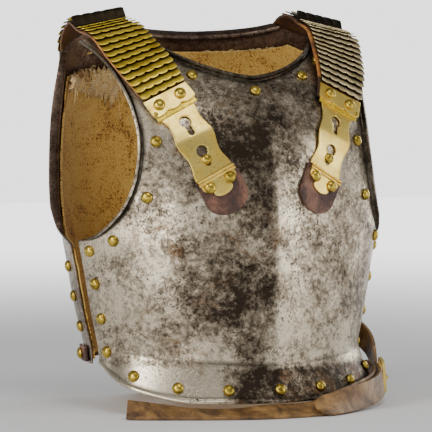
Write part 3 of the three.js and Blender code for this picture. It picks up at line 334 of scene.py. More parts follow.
class Net:
    """Collects grids of points in millimetres into one mesh with shared corners."""

    def __init__(self):
        self.keys, self.points, self.faces, self.maps, self.marks = {}, [], [], [], []

    def corner(self, point, flat, mark):
        key = tuple(round(v * 100) for v in point)
        if key not in self.keys:
            self.keys[key] = len(self.points)
            self.points.append(point)
            self.maps.append(flat)
            self.marks.append(mark)
        return self.keys[key]

    def grid(self, points, flat=None, marks=None, keep=None):
        rows, columns = points.shape[:2]
        flat = np.zeros((rows, columns, 2)) if flat is None else flat
        marks = np.zeros((rows, columns)) if marks is None else marks
        ids = [[self.corner(points[r, c], flat[r, c], marks[r, c]) for c in range(columns)]
               for r in range(rows)]
        for r in range(rows - 1):
            for c in range(columns - 1):
                if keep is not None and not keep[r:r + 2, c:c + 2].all():
                    continue
                loop = [ids[r][c], ids[r][c + 1], ids[r + 1][c + 1], ids[r + 1][c]]
                loop = [v for i, v in enumerate(loop) if v != loop[i - 1]]
                if len(set(loop)) >= 3 and len(set(loop)) == len(loop):
                    self.faces.append(loop)

    def grid_both(self, points, flat=None, marks=None, keep=None):
        """A grid and its mirror image. keep chooses the corners of the mirrored one."""
        self.grid(points, flat, marks)
        other = points * np.array([-1, 1, 1])
        turned = [None if table is None else table[:, ::-1] for table in (marks, keep)]
        self.grid(other[:, ::-1], None if flat is None else (flat * np.array([-1, 1]))[:, ::-1], *turned)

    def extend(self, points, faces):
        base = len(self.points)
        self.points.extend(points)
        self.maps.extend([(0, 0)] * len(points))
        self.marks.extend([0] * len(points))
        self.faces.extend([[base + v for v in face] for face in faces])

    def mesh(self, name, uv=False):
        mesh = bpy.data.meshes.new(name)
        mesh.from_pydata([Vector(p) for p in to_row(self.points)], [], self.faces)
        if uv:
            layer = mesh.uv_layers.new(name="cloth")
            corners = np.zeros(len(mesh.loops), int)
            mesh.loops.foreach_get("vertex_index", corners)
            layer.data.foreach_set("uv", (np.array(self.maps, float)[corners] * MM).ravel())
        # The marks are painted shade: how much darker each corner is painted
        if any(self.marks):
            layer = mesh.attributes.new("painted_shade", "FLOAT", "POINT")
            layer.data.foreach_set("value", np.array(self.marks, float))
        mesh.polygons.foreach_set("use_smooth", [True] * len(mesh.polygons))
        mesh.update()
        return mesh


def put(name, data):
    """A new object in the scene."""
    thing = bpy.data.objects.new(name, data)
    bpy.context.scene.collection.objects.link(thing)
    return thing


def add_object(name, mesh, materials, replaces=()):
    """A piece of the cuirass. It rides on the part's one body."""
    piece = put(name, mesh)
    for item in materials:
        mesh.materials.append(item)
    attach(piece, "root")
    if replaces:
        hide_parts(*replaces)
    return piece


def mirrored(points, mirror=-1):
    """Points of the wearer's left side, or of the right one where mirror is -1."""
    return points * np.array([mirror, 1, 1])


def from_middle(point):
    """The level way from a line up the middle of the torso."""
    return Vector((point.x, point.y - SHIFT[1] * MM, 0))


def from_body(point):
    return Vector((point.x, point.y - SHIFT[1] * MM, 0.12)).normalized()


def turn_faces(mesh, way):
    """Makes an open surface's faces agree, and turns them to look along way(point)."""
    work = bmesh.new()
    work.from_mesh(mesh)
    bmesh.ops.recalc_face_normals(work, faces=work.faces)
    total = sum(face.normal.dot(way(face.calc_center_median())) * face.calc_area() for face in work.faces)
    if total < 0:
        bmesh.ops.reverse_faces(work, faces=work.faces)
    work.to_mesh(mesh)
    work.free()


def thicken(piece, thickness, bevel, inside_slot=0, segments=2):
    solid = piece.modifiers.new("wall", "SOLIDIFY")
    solid.thickness = thickness * MM
    solid.offset = 0
    solid.use_quality_normals = True
    solid.material_offset = inside_slot
    if bevel:
        edge = piece.modifiers.new("edge", "BEVEL")
        edge.width = bevel * MM
        edge.segments = segments
        edge.limit_method = "ANGLE"
        edge.angle_limit = math.radians(50)
        edge.harden_normals = False


# Materials
class Nodes:
    """A material's node tree with short helpers."""

    def __init__(self, name):
        self.material = bpy.data.materials.new(name)
        self.material.use_nodes = True
        self.tree = self.material.node_tree
        self.shader = self.tree.nodes["Principled BSDF"]
        self.coord = self.tree.nodes.new("ShaderNodeTexCoord")

    def link(self, a, b):
        self.tree.links.new(a, b)

    def node(self, kind, **values):
        made = self.tree.nodes.new("ShaderNode" + kind)
        for key, value in values.items():
            if key in made.inputs:
                made.inputs[key].default_value = value
            else:
                setattr(made, key, value)
        return made

    def noise(self, scale, detail=4.0, rough=0.55, stretch=None, source="Object", distort=0.0):
        tex = self.node("TexNoise", Scale=scale, Detail=detail, Roughness=rough, Distortion=distort)
        place = self.coord.outputs[source]
        if stretch:
            turn = self.node("Mapping", Scale=stretch)
            self.link(place, turn.inputs["Vector"])
            place = turn.outputs["Vector"]
        self.link(place, tex.inputs["Vector"])
        return tex.outputs["Fac"]

    def ramp(self, source, stops):
        made = self.node("ValToRGB")
        while len(made.color_ramp.elements) < len(stops):
            made.color_ramp.elements.new(0.5)
        for element, (place, colour) in zip(made.color_ramp.elements, stops):
            element.position = place
            element.color = (*colour, 1) if isinstance(colour, tuple) else (colour, colour, colour, 1)
        self.link(source, made.inputs["Fac"])
        return made.outputs["Color"]

    def feed(self, socket, value):
        """Gives a socket a number, a colour or a link."""
        if isinstance(value, (int, float)):
            socket.default_value = value
        elif isinstance(value, tuple):
            socket.default_value = (*value, 1)
        else:
            self.link(value, socket)

    def mix(self, a, b, share):
        made = self.node("Mix", data_type="RGBA", blend_type="MIX")
        for value, place in ((share, 0), (a, 6), (b, 7)):
            self.feed(made.inputs[place], value)
        return made.outputs[2]

    def math(self, mode, *values):
        """One operation carried through the values."""
        total = values[0]
        for value in values[1:]:
            made = self.node("Math", operation=mode)
            self.feed(made.inputs[0], total)
            self.feed(made.inputs[1], value)
            total = made.outputs[0]
        return total

    def add(self, *values):
        return self.math("ADD", *values)

    def times(self, *values):
        return self.math("MULTIPLY", *values)

    def sine(self, value):
        made = self.node("Math", operation="SINE")
        self.link(value, made.inputs[0])
        return made.outputs[0]

    def spread(self, value, low, high, to=(0.0, 1.0), kind="LINEAR"):
        """A value moved from low..high to the two numbers of to."""
        made = self.node("MapRange", interpolation_type=kind)
        self.link(value, made.inputs["Value"])
        for name, number in (("From Min", low), ("From Max", high), ("To Min", to[0]), ("To Max", to[1])):
            made.inputs[name].default_value = number
        return made.outputs["Result"]

    def band(self, value, low, high):
        """0 before low, 1 after high, smooth between. It falls where low is the larger."""
        return self.spread(value, low, high, kind="SMOOTHSTEP")

    def painted_shade(self):
        """How much darker a place is painted, from the marks that its mesh carries: painted shade, and
        darker lines along the plates' crease and rim.
        """
        return self.node("Attribute", attribute_name="painted_shade").outputs["Fac"]

    def finish(self, colour, rough, height=None, strength=0.0, distance=0.0):
        """Links the colour, roughness and relief to the shader."""
        self.link(colour, self.shader.inputs["Base Color"])
        self.feed(self.shader.inputs["Roughness"], rough)
        if height:
            made = self.node("Bump", Strength=strength, Distance=distance)
            self.link(height, made.inputs["Height"])
            self.link(made.outputs["Normal"], self.shader.inputs["Normal"])
        return self.material


def darker(colour, share):
    return tuple(v * share for v in colour)


# Painted reflections on the breastplate, lighter or darker places: an amount, and the bands along an axis,
# in metres, that close the place in. Painted shade on the wearer's right flank of the ridge and on the upper
# chest, a painted highlight on the bright right end of the flange, and painted shade on its dull rest.
# Painted shading across the breastplate: lighter towards the wearer's right, darker towards the left
SIDE_SHADING = -0.10
PAINTED_REFLECTIONS = [
    (-0.074, [("X", -0.15, -0.045), ("X", 0.006, -0.006), ("Z", 0.33, 0.28), ("Z", 0.05, 0.11)]),
    (-0.042, [("X", -0.12, -0.06), ("X", 0.11, 0.06), ("Z", 0.24, 0.31)]),
    (0.14, [("Z", 0.055, 0.045), ("X", -0.03, -0.08)]),
    (-0.11, [("Z", 0.055, 0.045), ("X", -0.10, -0.05)]),
]
# Tones at which the steel is dark, mid and light, and those between which its roughness falls
STEEL_TONES = (0.38, 0.455, 0.545)
ROUGH_TONES = (0.37, 0.56)
TONE_SHIFT = -0.065
# Painted shade, near black, on the brass where its mesh marks it: under the scale rows and on the crest row
BRASS_SHADE = (0.022, 0.016, 0.009)


def painted_reflection_tone(m, cloudy):
    """The clouds with the breastplate's painted reflections, its lighter and darker places, over them."""
    place = m.node("SeparateXYZ")
    m.link(m.coord.outputs["Object"], place.inputs[0])
    reflected = m.times(place.outputs["X"], SIDE_SHADING)
    for amount, bands in PAINTED_REFLECTIONS:
        inside_bands = m.times(*[m.band(place.outputs[axis], low, high) for axis, low, high in bands])
        reflected = m.add(reflected, m.times(inside_bands, amount))
    return m.add(cloudy, reflected)


def steel_material(name, light, mid, dark, rust, rough_low, rough_high, painted_reflections=False):
    """Old polished plate: cloudy patches, dense dark pits, rusty stains, and painted shade and darker lines
    where its mesh marks them.
    """
    m = Nodes(name)
    clouds = m.noise(9, 6, 0.62, distort=0.5)
    blotches = m.noise(34, 6, 0.72, distort=0.3)
    flecks = m.noise(170, 5, 0.8)
    tone = m.add(m.times(clouds, 0.38), m.times(blotches, 0.32), m.times(flecks, 0.42), TONE_SHIFT)
    # Painted reflections and shading on the breastplate
    if painted_reflections:
        tone = painted_reflection_tone(m, tone)
    base = m.ramp(tone, list(zip(STEEL_TONES, (dark, mid, light))))
    pit_zone = m.ramp(m.noise(26, 5, 0.7), [(0.38, 0.15), (0.58, 1.0)])
    fine = m.times(m.ramp(m.noise(520, 2, 0.5), [(0.36, 1.0), (0.44, 0.0)]), pit_zone, 0.75)
    coarse = m.times(m.ramp(m.noise(230, 4, 0.7), [(0.33, 1.0), (0.42, 0.0)]), pit_zone, 0.8)
    pits = m.math("MINIMUM", m.add(fine, coarse), 0.92)
    pitted = m.mix(base, darker(dark, 0.45), pits)
    stained = m.mix(pitted, rust, m.ramp(m.noise(21, 5, 0.7, distort=1.2), [(0.56, 0.0), (0.68, 0.5)]))
    # Painted shade at the lips and their roots, and darker lines along the crease and rim, from the mesh's
    # marks
    colour = m.mix(stained, darker(dark, 0.22), m.times(m.painted_shade(), 0.9))
    m.shader.inputs["Metallic"].default_value = 1.0
    rough = m.add(m.spread(tone, *ROUGH_TONES, to=(rough_high, rough_low)), m.times(pits, 0.25))
    relief = m.math("SUBTRACT", m.times(m.noise(60, 4), 0.5), m.times(pits, 0.4))
    return m.finish(colour, rough, relief, 0.4, 0.0009)


def brass_material(name, light, dark, rough_low, rough_high, spot_scale=60):
    """Worn brass with clouds, small dark spots and painted shade where its mesh marks it."""
    m = Nodes(name)
    clouds = m.noise(spot_scale, 5, 0.65, distort=0.4)
    base = m.ramp(clouds, [(0.36, dark), (0.56, light)])
    spotted = m.mix(base, darker(dark, 0.35), m.ramp(m.noise(380, 3, 0.6), [(0.3, 0.75), (0.4, 0.0)]))
    m.shader.inputs["Metallic"].default_value = 1.0
    rough = m.spread(clouds, 0.35, 0.65, to=(rough_high, rough_low))
    # Painted shade from the mesh's marks
    return m.finish(m.mix(spotted, BRASS_SHADE, m.painted_shade()), rough, m.noise(190, 4), 0.25, 0.0004)


def leather_material(name, light, mid, dark, rough=0.5):
    """Cracked leather with rubbed places."""
    m = Nodes(name)
    clouds = m.noise(38, 6, 0.65, distort=0.5)
    base = m.ramp(clouds, [(0.36, dark), (0.5, mid), (0.64, light)])
    grain = m.node("TexVoronoi", Scale=650.0, feature="DISTANCE_TO_EDGE")
    m.link(m.coord.outputs["Object"], grain.inputs["Vector"])
    cracks = grain.outputs["Distance"]
    cracked = m.mix(base, darker(dark, 0.4), m.ramp(cracks, [(0.0, 0.55), (0.09, 0.0)]))
    rubbed = m.mix(cracked, light, m.ramp(m.noise(300, 4, 0.7), [(0.55, 0.0), (0.75, 0.5)]))
    # Painted shade where the mesh marks it
    colour = m.mix(rubbed, darker(dark, 0.15), m.painted_shade())
    dullness = m.spread(clouds, 0, 1, to=(rough + 0.15, rough - 0.1))
    return m.finish(colour, dullness, m.add(cracks, m.noise(120, 4)), 0.4, 0.0006)


THREAD_PITCH = 2.1


def canvas_material(name, light, mid, dark):
    """Coarse plain weave on the flat coordinates of the cloth, with stains."""
    m = Nodes(name)
    split = m.node("SeparateXYZ")
    m.link(m.coord.outputs["UV"], split.inputs[0])
    wobble = m.times(m.math("SUBTRACT", m.noise(60, 3, source="UV"), 0.5), 0.004)
    step = 2 * math.pi / (THREAD_PITCH * MM)
    across, along = [m.times(m.add(split.outputs[axis], wobble), step) for axis in "XY"]
    over = m.sine(m.add(m.times(across, 0.5), m.times(along, 0.5)))
    weave = m.add(m.times(m.sine(across), m.sine(along)), m.times(over, 0.35))
    slub = m.noise(60, 4, 0.75, stretch=(8, 1, 1), source="UV")
    cross_slub = m.noise(60, 4, 0.75, stretch=(1, 8, 1), source="UV")
    stain = m.noise(22, 6, 0.65, distort=0.8)
    coarse = m.noise(300, 3, 0.75, source="UV")
    tone = m.add(m.times(stain, 0.33), m.times(coarse, 0.34), m.times(m.add(slub, cross_slub), 0.165))
    base = m.ramp(tone, [(0.435, dark), (0.47, mid), (0.53, light)])
    thread = m.ramp(m.add(m.times(weave, 0.35), 0.5), [(0.15, 0.8), (0.7, 0.0)])
    m.shader.inputs["Sheen Weight"].default_value = 0.25
    relief = m.add(weave, m.times(slub, 1.5))
    return m.finish(m.mix(base, darker(dark, 0.35), thread), 0.92, relief, 0.55, 0.0005)


def thread_material(name, colour):
    m = Nodes(name)
    return m.finish(m.ramp(m.noise(500, 3), [(0.3, darker(colour, 0.55)), (0.7, colour)]), 0.9)


STEEL = steel_material("breast_steel", (0.72, 0.62, 0.46), (0.25, 0.20, 0.14), (0.04, 0.029, 0.02),
                       (0.20, 0.095, 0.035), 0.28, 0.44, painted_reflections=True)
# The inside faces: browner unpolished steel, darkened further as painted shade for the hollow
STEEL_INSIDE_SHADED = steel_material("inside_steel_shaded", (0.24, 0.165, 0.12), (0.11, 0.07, 0.05), (0.035, 0.022, 0.016),
                              (0.09, 0.045, 0.025), 0.34, 0.5)
STEEL_BACK = steel_material("back_steel", (0.64, 0.55, 0.45), (0.32, 0.26, 0.205), (0.085, 0.06, 0.045),
                            (0.18, 0.10, 0.06), 0.28, 0.42)
SCALE_BRASS = brass_material("scale_brass", (1.0, 0.74, 0.08), (0.50, 0.34, 0.025), 0.34, 0.5)
PLATE_BRASS = brass_material("plate_brass", (1.0, 0.76, 0.20), (0.86, 0.57, 0.10), 0.28, 0.40, 40)
SCALE_PALE = brass_material("scale_brass_pale", (1.0, 0.83, 0.48), (0.45, 0.36, 0.17), 0.32, 0.48)
RIVET_BRASS = brass_material("rivet_brass", (0.62, 0.44, 0.07), (0.22, 0.15, 0.02), 0.24, 0.38, 120)
STRAP_BROWN = leather_material("strap_brown", (0.66, 0.29, 0.06), (0.40, 0.15, 0.03), (0.13, 0.05, 0.016))
BELT_BROWN = leather_material("belt_brown", (0.44, 0.24, 0.075), (0.22, 0.11, 0.033),
                              (0.07, 0.032, 0.011), 0.42)
DARK_BROWN = leather_material("tip_brown", (0.26, 0.115, 0.065), (0.075, 0.03, 0.018), (0.022, 0.01, 0.007))
CANVAS = canvas_material("canvas", (1.0, 0.66, 0.15), (0.86, 0.46, 0.06), (0.22, 0.09, 0.01))
CANVAS_EDGE = canvas_material("canvas_edge", (1.0, 0.80, 0.42), (0.95, 0.60, 0.20), (0.42, 0.21, 0.05))
THREAD = thread_material("loose_thread", (1.0, 0.74, 0.32))

# Plates. A line of relief or of darkening has a strength, a height above its line and a reach.
RIM_BEAD = {"breastplate": (1.1, 1.6, 1.3), "backplate": (0.5, 1.6, 1.3)}
# Darker lines along the crease and just above the rim. Painted shade on the two columns beside each lip's
# root.
CREASE_DARKENING, RIM_DARKENING = (0.8, 1.2, 2.2), (0.7, 5.0, 1.6)
EDGE_SHADE = (0.75, 0.4)
# Painted shade across a lip, from its root to its edge. The backplate's lips get less in their middle, which
# leaves a lighter band there.
LIP_SHADE = {
    "breastplate": [0.75, 0.95, 1.0, 1.0, 0.95, 0.9, 0.9, 0.9, 0.9, 0.85, 0.6],
    "backplate": [0.75, 0.9, 0.6, 0.25, 0.1, 0.1, 0.2, 0.4, 0.6, 0.5, 0.2],
}
HAMMERING, LONG_WAVE, SHORT_WAVE = 0.55, 70, 27


def plate_points(plate, trim=(0, 0, 0, 0)):
    angles, heights = half_grid(plate, trim)
    return angles, heights, plate_point(plate, angles, heights), plate_normal(plate, angles, heights)


def wavy(points, normals, seed):
    """Low hand-forged unevenness."""
    moved = points.copy()
    for index in np.ndindex(points.shape[:2]):
        p = Vector(points[index]) + Vector((seed, 0, 0))
        wave = noise.noise(p / LONG_WAVE) + 0.45 * noise.noise(p / SHORT_WAVE)
        moved[index] = points[index] + normals[index] * wave * HAMMERING
    return moved


def along_line(above, line):
    strength, height, reach = line
    return strength * np.exp(-((above - height) / reach) ** 2)


def plate_piece(name, plate, node, materials, bevel, seed):
    angles, heights, points, normals = plate_points(plate)
    above = heights - level_at(plate["rim"], angles)
    on_flange = (np.arange(len(heights)) <= CREASE_ROW)[:, None]
    bead = along_line(above, RIM_BEAD[node]) * on_flange
    flat = wavy(points, normals, seed)
    flat[:, 0, 0] = np.where(angles[:, 0] < 1e-6, 0, flat[:, 0, 0])
    neck_row, arm_row = CREASE_ROW + NECK_ROW, CREASE_ROW + ARM_ROW
    # Painted shade beside the lips' roots, and darker lines along the crease and above the rim
    marks = along_line(heights - level_at(plate["crease"], angles), CREASE_DARKENING)
    marks = marks * (1 - ease(*plate["fade"], angles)) + along_line(above, RIM_DARKENING) * on_flange
    for column, first, step in ((0, neck_row, 1), (COLUMNS, arm_row, -1)):
        for k, mark in enumerate(EDGE_SHADE):
            marks[first:, column + step * k] = np.maximum(marks[first:, column + step * k], mark)
    marks[:neck_row, 0] = marks[:neck_row, 1]
    net = Net()
    net.grid_both(flat + normals * bead[..., None], marks=marks)
    for first, column, from_corner in ((neck_row, 0, False), (arm_row, COLUMNS, True)):
        lip = lip_grid(flat, normals, first, column, plate["lip"], from_corner)
        # The lips are painted with shade across their width
        net.grid_both(lip, marks=np.tile(np.array(LIP_SHADE[node])[None, :], (lip.shape[0], 1)))
    mesh = net.mesh(name)
    turn_faces(mesh, from_middle)
    piece = add_object(name, mesh, materials, [node])
    if plate is BREAST:
        press_dent(mesh)
    thicken(piece, plate["wall"], bevel, inside_slot=1)


# The proof mark: a small round hollow with a soft dished ring around it
DENT = {
    "across": 24, "height": 0.6, "radius": 5.2, "depth": 1.7,
    "dish": 0.7, "dish_radius": 11, "reach": 26,
}
DENT_CUTS = (16, 9)


def press_dent(mesh):
    height = PLATE_HEIGHT * DENT["height"]
    angle = angle_across(BREAST, DENT["across"], height)
    centre = Vector(to_row(plate_point(BREAST, angle, height)))
    normal = Vector(plate_normal(BREAST, angle, height))
    work = bmesh.new()
    work.from_mesh(mesh)
    for reach in DENT_CUTS:
        near = [e for e in work.edges if all((v.co - centre).length < reach * MM for v in e.verts)]
        bmesh.ops.subdivide_edges(work, edges=near, cuts=1, use_grid_fill=True, smooth=0)
    for vertex in work.verts:
        away = (vertex.co - centre).length / MM
        if away < DENT["reach"]:
            hollow = DENT["depth"] * math.exp(-((away / DENT["radius"]) ** 3))
            dish = DENT["dish"] * math.exp(-((away / DENT["dish_radius"]) ** 2))
            vertex.co -= normal * (hollow + dish) * MM
    work.to_mesh(mesh)
    work.free()
    mesh.polygons.foreach_set("use_smooth", [True] * len(mesh.polygons))


plate_piece("breastplate_steel", BREAST, "breastplate", [STEEL, STEEL_INSIDE_SHADED], 0.7, 11.0)
plate_piece("backplate_steel", BACK, "backplate", [STEEL_BACK, STEEL_INSIDE_SHADED], 0.5, 57.0)

# Rivets
HEAD_SIDES = 20
HEAD_FOOT = 0.8


def dome(net, place, up, radius=HEAD_RADIUS, height=HEAD_HEIGHT):
    """A rivet head with an undercut foot."""
    sides = HEAD_SIDES
    profile = [(radius * 0.86, 0), (radius * 0.88, 0.35), (radius, HEAD_FOOT)]
    for turn in np.radians(np.linspace(12, 80, 6)):
        profile.append((radius * math.cos(turn), HEAD_FOOT + (height - HEAD_FOOT) * math.sin(turn)))
    turn = Vector(up).normalized().to_track_quat("Z", "X")
    points, faces = [], []
    for reach, level in profile:
        for side in range(sides):
            a = 2 * math.pi * side / sides
            spot = turn @ Vector((reach * math.cos(a), reach * math.sin(a), level))
            points.append(np.array(place) + np.array(spot))
    points.append(np.array(place) + np.array(turn @ Vector((0, 0, height))))
    top = (len(profile) - 1) * sides
    for side in range(sides):
        after = (side + 1) % sides
        for ring in range(0, top, sides):
            faces.append([ring + side, ring + after, ring + after + sides, ring + side + sides])
        faces.append([top + side, top + after, top + sides])
    faces.append(list(range(sides))[::-1])
    net.extend(points, faces)


def plate_rivet(net, plate, angle, height, mirror=1):
    normal = plate_normal(plate, angle, height)
    place = plate_point(plate, angle, height) + normal * (plate["wall"] / 2 - 0.1)
    dome(net, mirrored(place, mirror), mirrored(normal, mirror))


def inset_from(plate, edge, share, inset):
    """Angle and height a given way inside an edge."""
    near = (share, max(share - 0.02, 0), min(share + 0.02, 1))
    here, before, after = [[float(np.ravel(v)[0]) for v in edge(plate, np.array([at]))] for at in near]
    run = plate_point(plate, *after) - plate_point(plate, *before)
    normal = plate_normal(plate, *here)
    inward = np.array([0, 0, -1.0]) if share == 0 else unit(np.cross(run, normal))
    inward = unit(inward - normal * inward.dot(normal))
    if (inward[2] > 0) if edge is neck_edge else (inward[0] > 0):
        inward = -inward
    goal = plate_point(plate, *here) + inward * inset
    return angle_across(plate, goal[0], goal[2]), goal[2]


NECK_RIVET_INSET = 12
NECK_RIVETS = [0.38, 0.58]
ARM_RIVETS = [0.2, 0.385, 0.55]
EDGE_RIVETS = [(neck_edge, NECK_RIVETS, NECK_RIVET_INSET), (armhole_edge, ARM_RIVETS, RIVET_INSET)]
SIDE_RIVETS = [0.116, 0.2, 0.288, 0.37]
RIM_RIVETS = [19.3, 38.7, 58]
BACK_SIDE_RIVETS = [0.172, 0.249, 0.325]


def side_rivet(net, plate, share, mirror):
    angle = plate["side_angle"] - SIDE_RIVET_INSET / DEGREE_SPAN
    plate_rivet(net, plate, angle, share * PLATE_HEIGHT, mirror)


rivets, back_rivets = Net(), Net()
plate_rivet(rivets, BREAST, 0, inset_from(BREAST, neck_edge, 0, NECK_RIVET_INSET)[1])
plate_rivet(rivets, BREAST, 0, RIVET_INSET)
for mirror in (1, -1):
    for edge, shares, inset in EDGE_RIVETS:
        for share in shares:
            plate_rivet(rivets, BREAST, *inset_from(BREAST, edge, share, inset), mirror)
    for share in SIDE_RIVETS:
        side_rivet(rivets, BREAST, share, mirror)
    for angle in RIM_RIVETS:
        plate_rivet(rivets, BREAST, angle, level_at(BREAST["rim"], angle) + RIVET_INSET, mirror)
    # The wearer's left has one less on the backplate, where the belt's strap starts
    for share in BACK_SIDE_RIVETS[1 if mirror > 0 else 0:]:
        side_rivet(back_rivets, BACK, share, mirror)
breast_names = [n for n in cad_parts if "_rivet" in n and not n.startswith("belt") and "back" not in n]
back_names = [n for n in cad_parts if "_back_rivet" in n]
add_object("breast_rivets", rivets.mesh("breast_rivets"), [RIVET_BRASS], breast_names)
add_object("back_rivets", back_rivets.mesh("back_rivets"), [RIVET_BRASS], back_names)

# Linings. Trims are at the neck, the armhole, the top and the rim.
BREAST_TRIM, BACK_TRIM = (6, 3, 12, 5), (12, 3, 18, 5)
# The back lining is torn along a line on the wearer's right: height shares at angles from the middle
TORN_ANGLES = [0, 18, 24, 32, 42, 55, 68, 90]
TORN_SHARES = [1.2, 1.2, 0.83, 0.835, 0.83, 0.82, 0.805, 0.80]
TEAR_START, TEAR_END = 24, 69
SLACK, SLACK_WIDE, SLACK_TALL = 1.1, 40, 16


def flat_map(angles, heights):
    return np.stack([angles * DEGREE_SPAN, heights], -1)


def torn_height(angle):
    rough = 3 * np.sin(np.asarray(angle) * 1.9) + 2 * np.sin(np.asarray(angle) * 4.7)
    return np.interp(angle, TORN_ANGLES, TORN_SHARES) * PLATE_HEIGHT + rough


def along_tear(angle):
    return (angle - TEAR_START) / (TEAR_END - TEAR_START)


def lining_point(plate, angle, height, inward=0.0):
    """A point on a lining's face that looks into the cuirass, or a way inward from it."""
    depth = plate["wall"] / 2 + LINING_GAP + LINING_WALL + inward
    return plate_point(plate, angle, height) - plate_normal(plate, angle, height) * depth


def thread_tube(net, points, radius, sides=5):
    """A thread along points in millimetres."""
    points = np.array(points, float)
    ring_points, faces = [], []
    for place, along in zip(points, unit(np.gradient(points, axis=0))):
        side = unit(np.cross(along, (0.3, 0.2, 1.0)))
        other = np.cross(along, side)
        for a in 2 * np.pi * np.arange(sides) / sides:
            ring_points.append(place + (side * math.cos(a) + other * math.sin(a)) * radius)
    last = (len(points) - 1) * sides
    for ring in range(0, last, sides):
        for k in range(sides):
            a, b = ring + k, ring + (k + 1) % sides
            faces.append([a, b, b + sides, a + sides])
    faces.append(list(range(sides))[::-1])
    faces.append([last + k for k in range(sides)])
    net.extend(ring_points, faces)


def lining_piece(name, plate, node, trim, protrusion, fray):
    """A lining with a frayed side edge."""
    angles, heights, _, _ = plate_points(plate, trim)
    edge = CREASE_ROW + ARM_ROW
    rows = np.arange(len(heights))
    extra = np.where(rows <= edge, protrusion / DEGREE_SPAN * np.clip((edge - rows) / 12, 0, 1), 0)
    share = np.linspace(0, 1, COLUMNS + 1)[None, :] ** 3
    wander = np.array([noise.noise(Vector((r * 0.35, 3.0, 0))) + 0.6 * noise.noise(Vector((r * 1.3, 9.0, 0)))
                       for r in rows])
    angles = np.minimum(angles + (extra + wander * fray / DEGREE_SPAN)[:, None] * share, MAX_ANGLE)
    points, normals = plate_point(plate, angles, heights), plate_normal(plate, angles, heights)
    gap = plate["wall"] / 2 + LINING_GAP + LINING_WALL / 2
    slack = np.zeros(points.shape[:2])
    for index in np.ndindex(slack.shape):
        x, y, z = points[index]
        wave = noise.noise(Vector((x / SLACK_WIDE, y / SLACK_WIDE, z / SLACK_TALL)))
        slack[index] = SLACK * max(wave, -0.2)
    keep = heights < torn_height(angles) if plate is BACK else None
    net = Net()
    net.grid_both(points - normals * (gap + slack[..., None]), flat_map(angles, heights), keep=keep)
    mesh = net.mesh(name, uv=True)
    turn_faces(mesh, from_middle)
    piece = add_object(name, mesh, [CANVAS], [node])
    thicken(piece, LINING_WALL, 0)
    return lambda *threads: piece


declare_breast_canvas = lining_piece("breast_canvas", BREAST, "breast_lining",
                                     BREAST_TRIM, 7, 1.2)
declare_back_canvas = lining_piece("back_canvas", BACK, "back_lining", BACK_TRIM, 0, 2.2)
declare_breast_canvas()

# The torn edge: a crumpled flap
FLAP_ROWS, FLAP_COLUMNS, FLAP_WALL = 9, 60, 0.8
flap = np.zeros((FLAP_ROWS, FLAP_COLUMNS, 3))
flap_flat = np.zeros((FLAP_ROWS, FLAP_COLUMNS, 2))
for column, angle in enumerate(np.linspace(TEAR_START, TEAR_END, FLAP_COLUMNS)):
    edge = float(torn_height(angle))
    hang = 38 - 28 * along_tear(angle)
    sag = 1 + 0.35 * noise.noise(Vector((angle * 0.7, 1.0, 0)))
    for row, down in enumerate(np.arange(FLAP_ROWS) / (FLAP_ROWS - 1)):
        crumple = noise.noise(Vector((angle * 0.32, down * 1.7, 4.0)))
        crumple += 0.6 * noise.noise(Vector((angle, down * 3, 8.0)))
        inward = 2.5 + 6 * math.sin(math.pi * down) * (1 + 0.5 * crumple) + 2.0 * crumple
        drop = 3 + hang * down * sag
        flap[row, column] = mirrored(lining_point(BACK, angle, edge + 3 - drop, max(inward, 0.6)))
        flap_flat[row, column] = (angle * DEGREE_SPAN, edge - drop)
flap_net = Net()
flap_net.grid(flap, flap_flat)
flap_mesh = flap_net.mesh("torn_flap", uv=True)
flap_piece = add_object("torn_flap", flap_mesh, [CANVAS_EDGE], ())
thicken(flap_piece, FLAP_WALL, 0)

# Loose threads of the tear, in groups of a count, angles and lengths, whip stitches along the hem of the
# armhole, and threads along the neck
draw = np.random.default_rng(7)
TEAR_THREADS = [(46, TEAR_START, TEAR_END, (8, 20)), (5, 22, 34, (26, 42))]
NECK_THREADS = 34
STITCHES = np.linspace(0.03, 0.72, 58)
# A stitch's points: millimetres in from the hem and above the cloth
STITCH = [(0.2, -0.2), (0.7, 0.9), (2.2, 0.9), (3.9, 0.1)]
threads = Net()
for count, low, high, reach in TEAR_THREADS:
    for _ in range(count):
        angle = draw.uniform(low, high)
        below = draw.uniform(0, 30 - 18 * along_tear(angle))
        start = mirrored(lining_point(BACK, angle, float(torn_height(angle)) - below, 5))
        length, lean, swing = draw.uniform(*reach), draw.uniform(-0.9, 0.9), draw.uniform(-0.5, 0.5)
        points = []
        for t in np.linspace(0, 1, 7):
            sway = lean * length * t * 0.6 + swing * length * math.sin(2.6 * t) * 0.4
            fall = (0.25 * math.sin(3 * t) - t * t) * length * 0.8
            points.append(start + np.array([sway, -1.5 * t + swing * t * 3, fall]))
        thread_tube(threads, points, draw.uniform(0.28, 0.45))
for share in STITCHES:
    angle, height = [float(v[0]) for v in armhole_edge(BACK, np.array([share]), *BACK_TRIM[1:3])]
    stitch = [lining_point(BACK, angle - across / DEGREE_SPAN, height + across * 0.4, above)
              for across, above in STITCH]
    for mirror in (1, -1):
        if mirror > 0 or height < torn_height(angle):
            thread_tube(threads, [mirrored(point, mirror) for point in stitch], 0.5)
for _ in range(NECK_THREADS):
    share = draw.uniform(0.05, 0.62)
    angle, height = [float(v[0]) for v in neck_edge(BACK, np.array([share]), BACK_TRIM[0], BACK_TRIM[2])]
    start = lining_point(BACK, angle, height - 1, 0.5)
    length, lean = draw.uniform(4, 11), draw.uniform(-0.8, 0.8)
    points = [start + np.array([lean * length * t, -2.0 * t, length * (t - 0.8 * t * t)])
              for t in np.linspace(0, 1, 5)]
    thread_tube(threads, points, 0.32)
add_object("loose_threads", threads.mesh("loose_threads"), [THREAD], ())
declare_back_canvas("loose_threads")


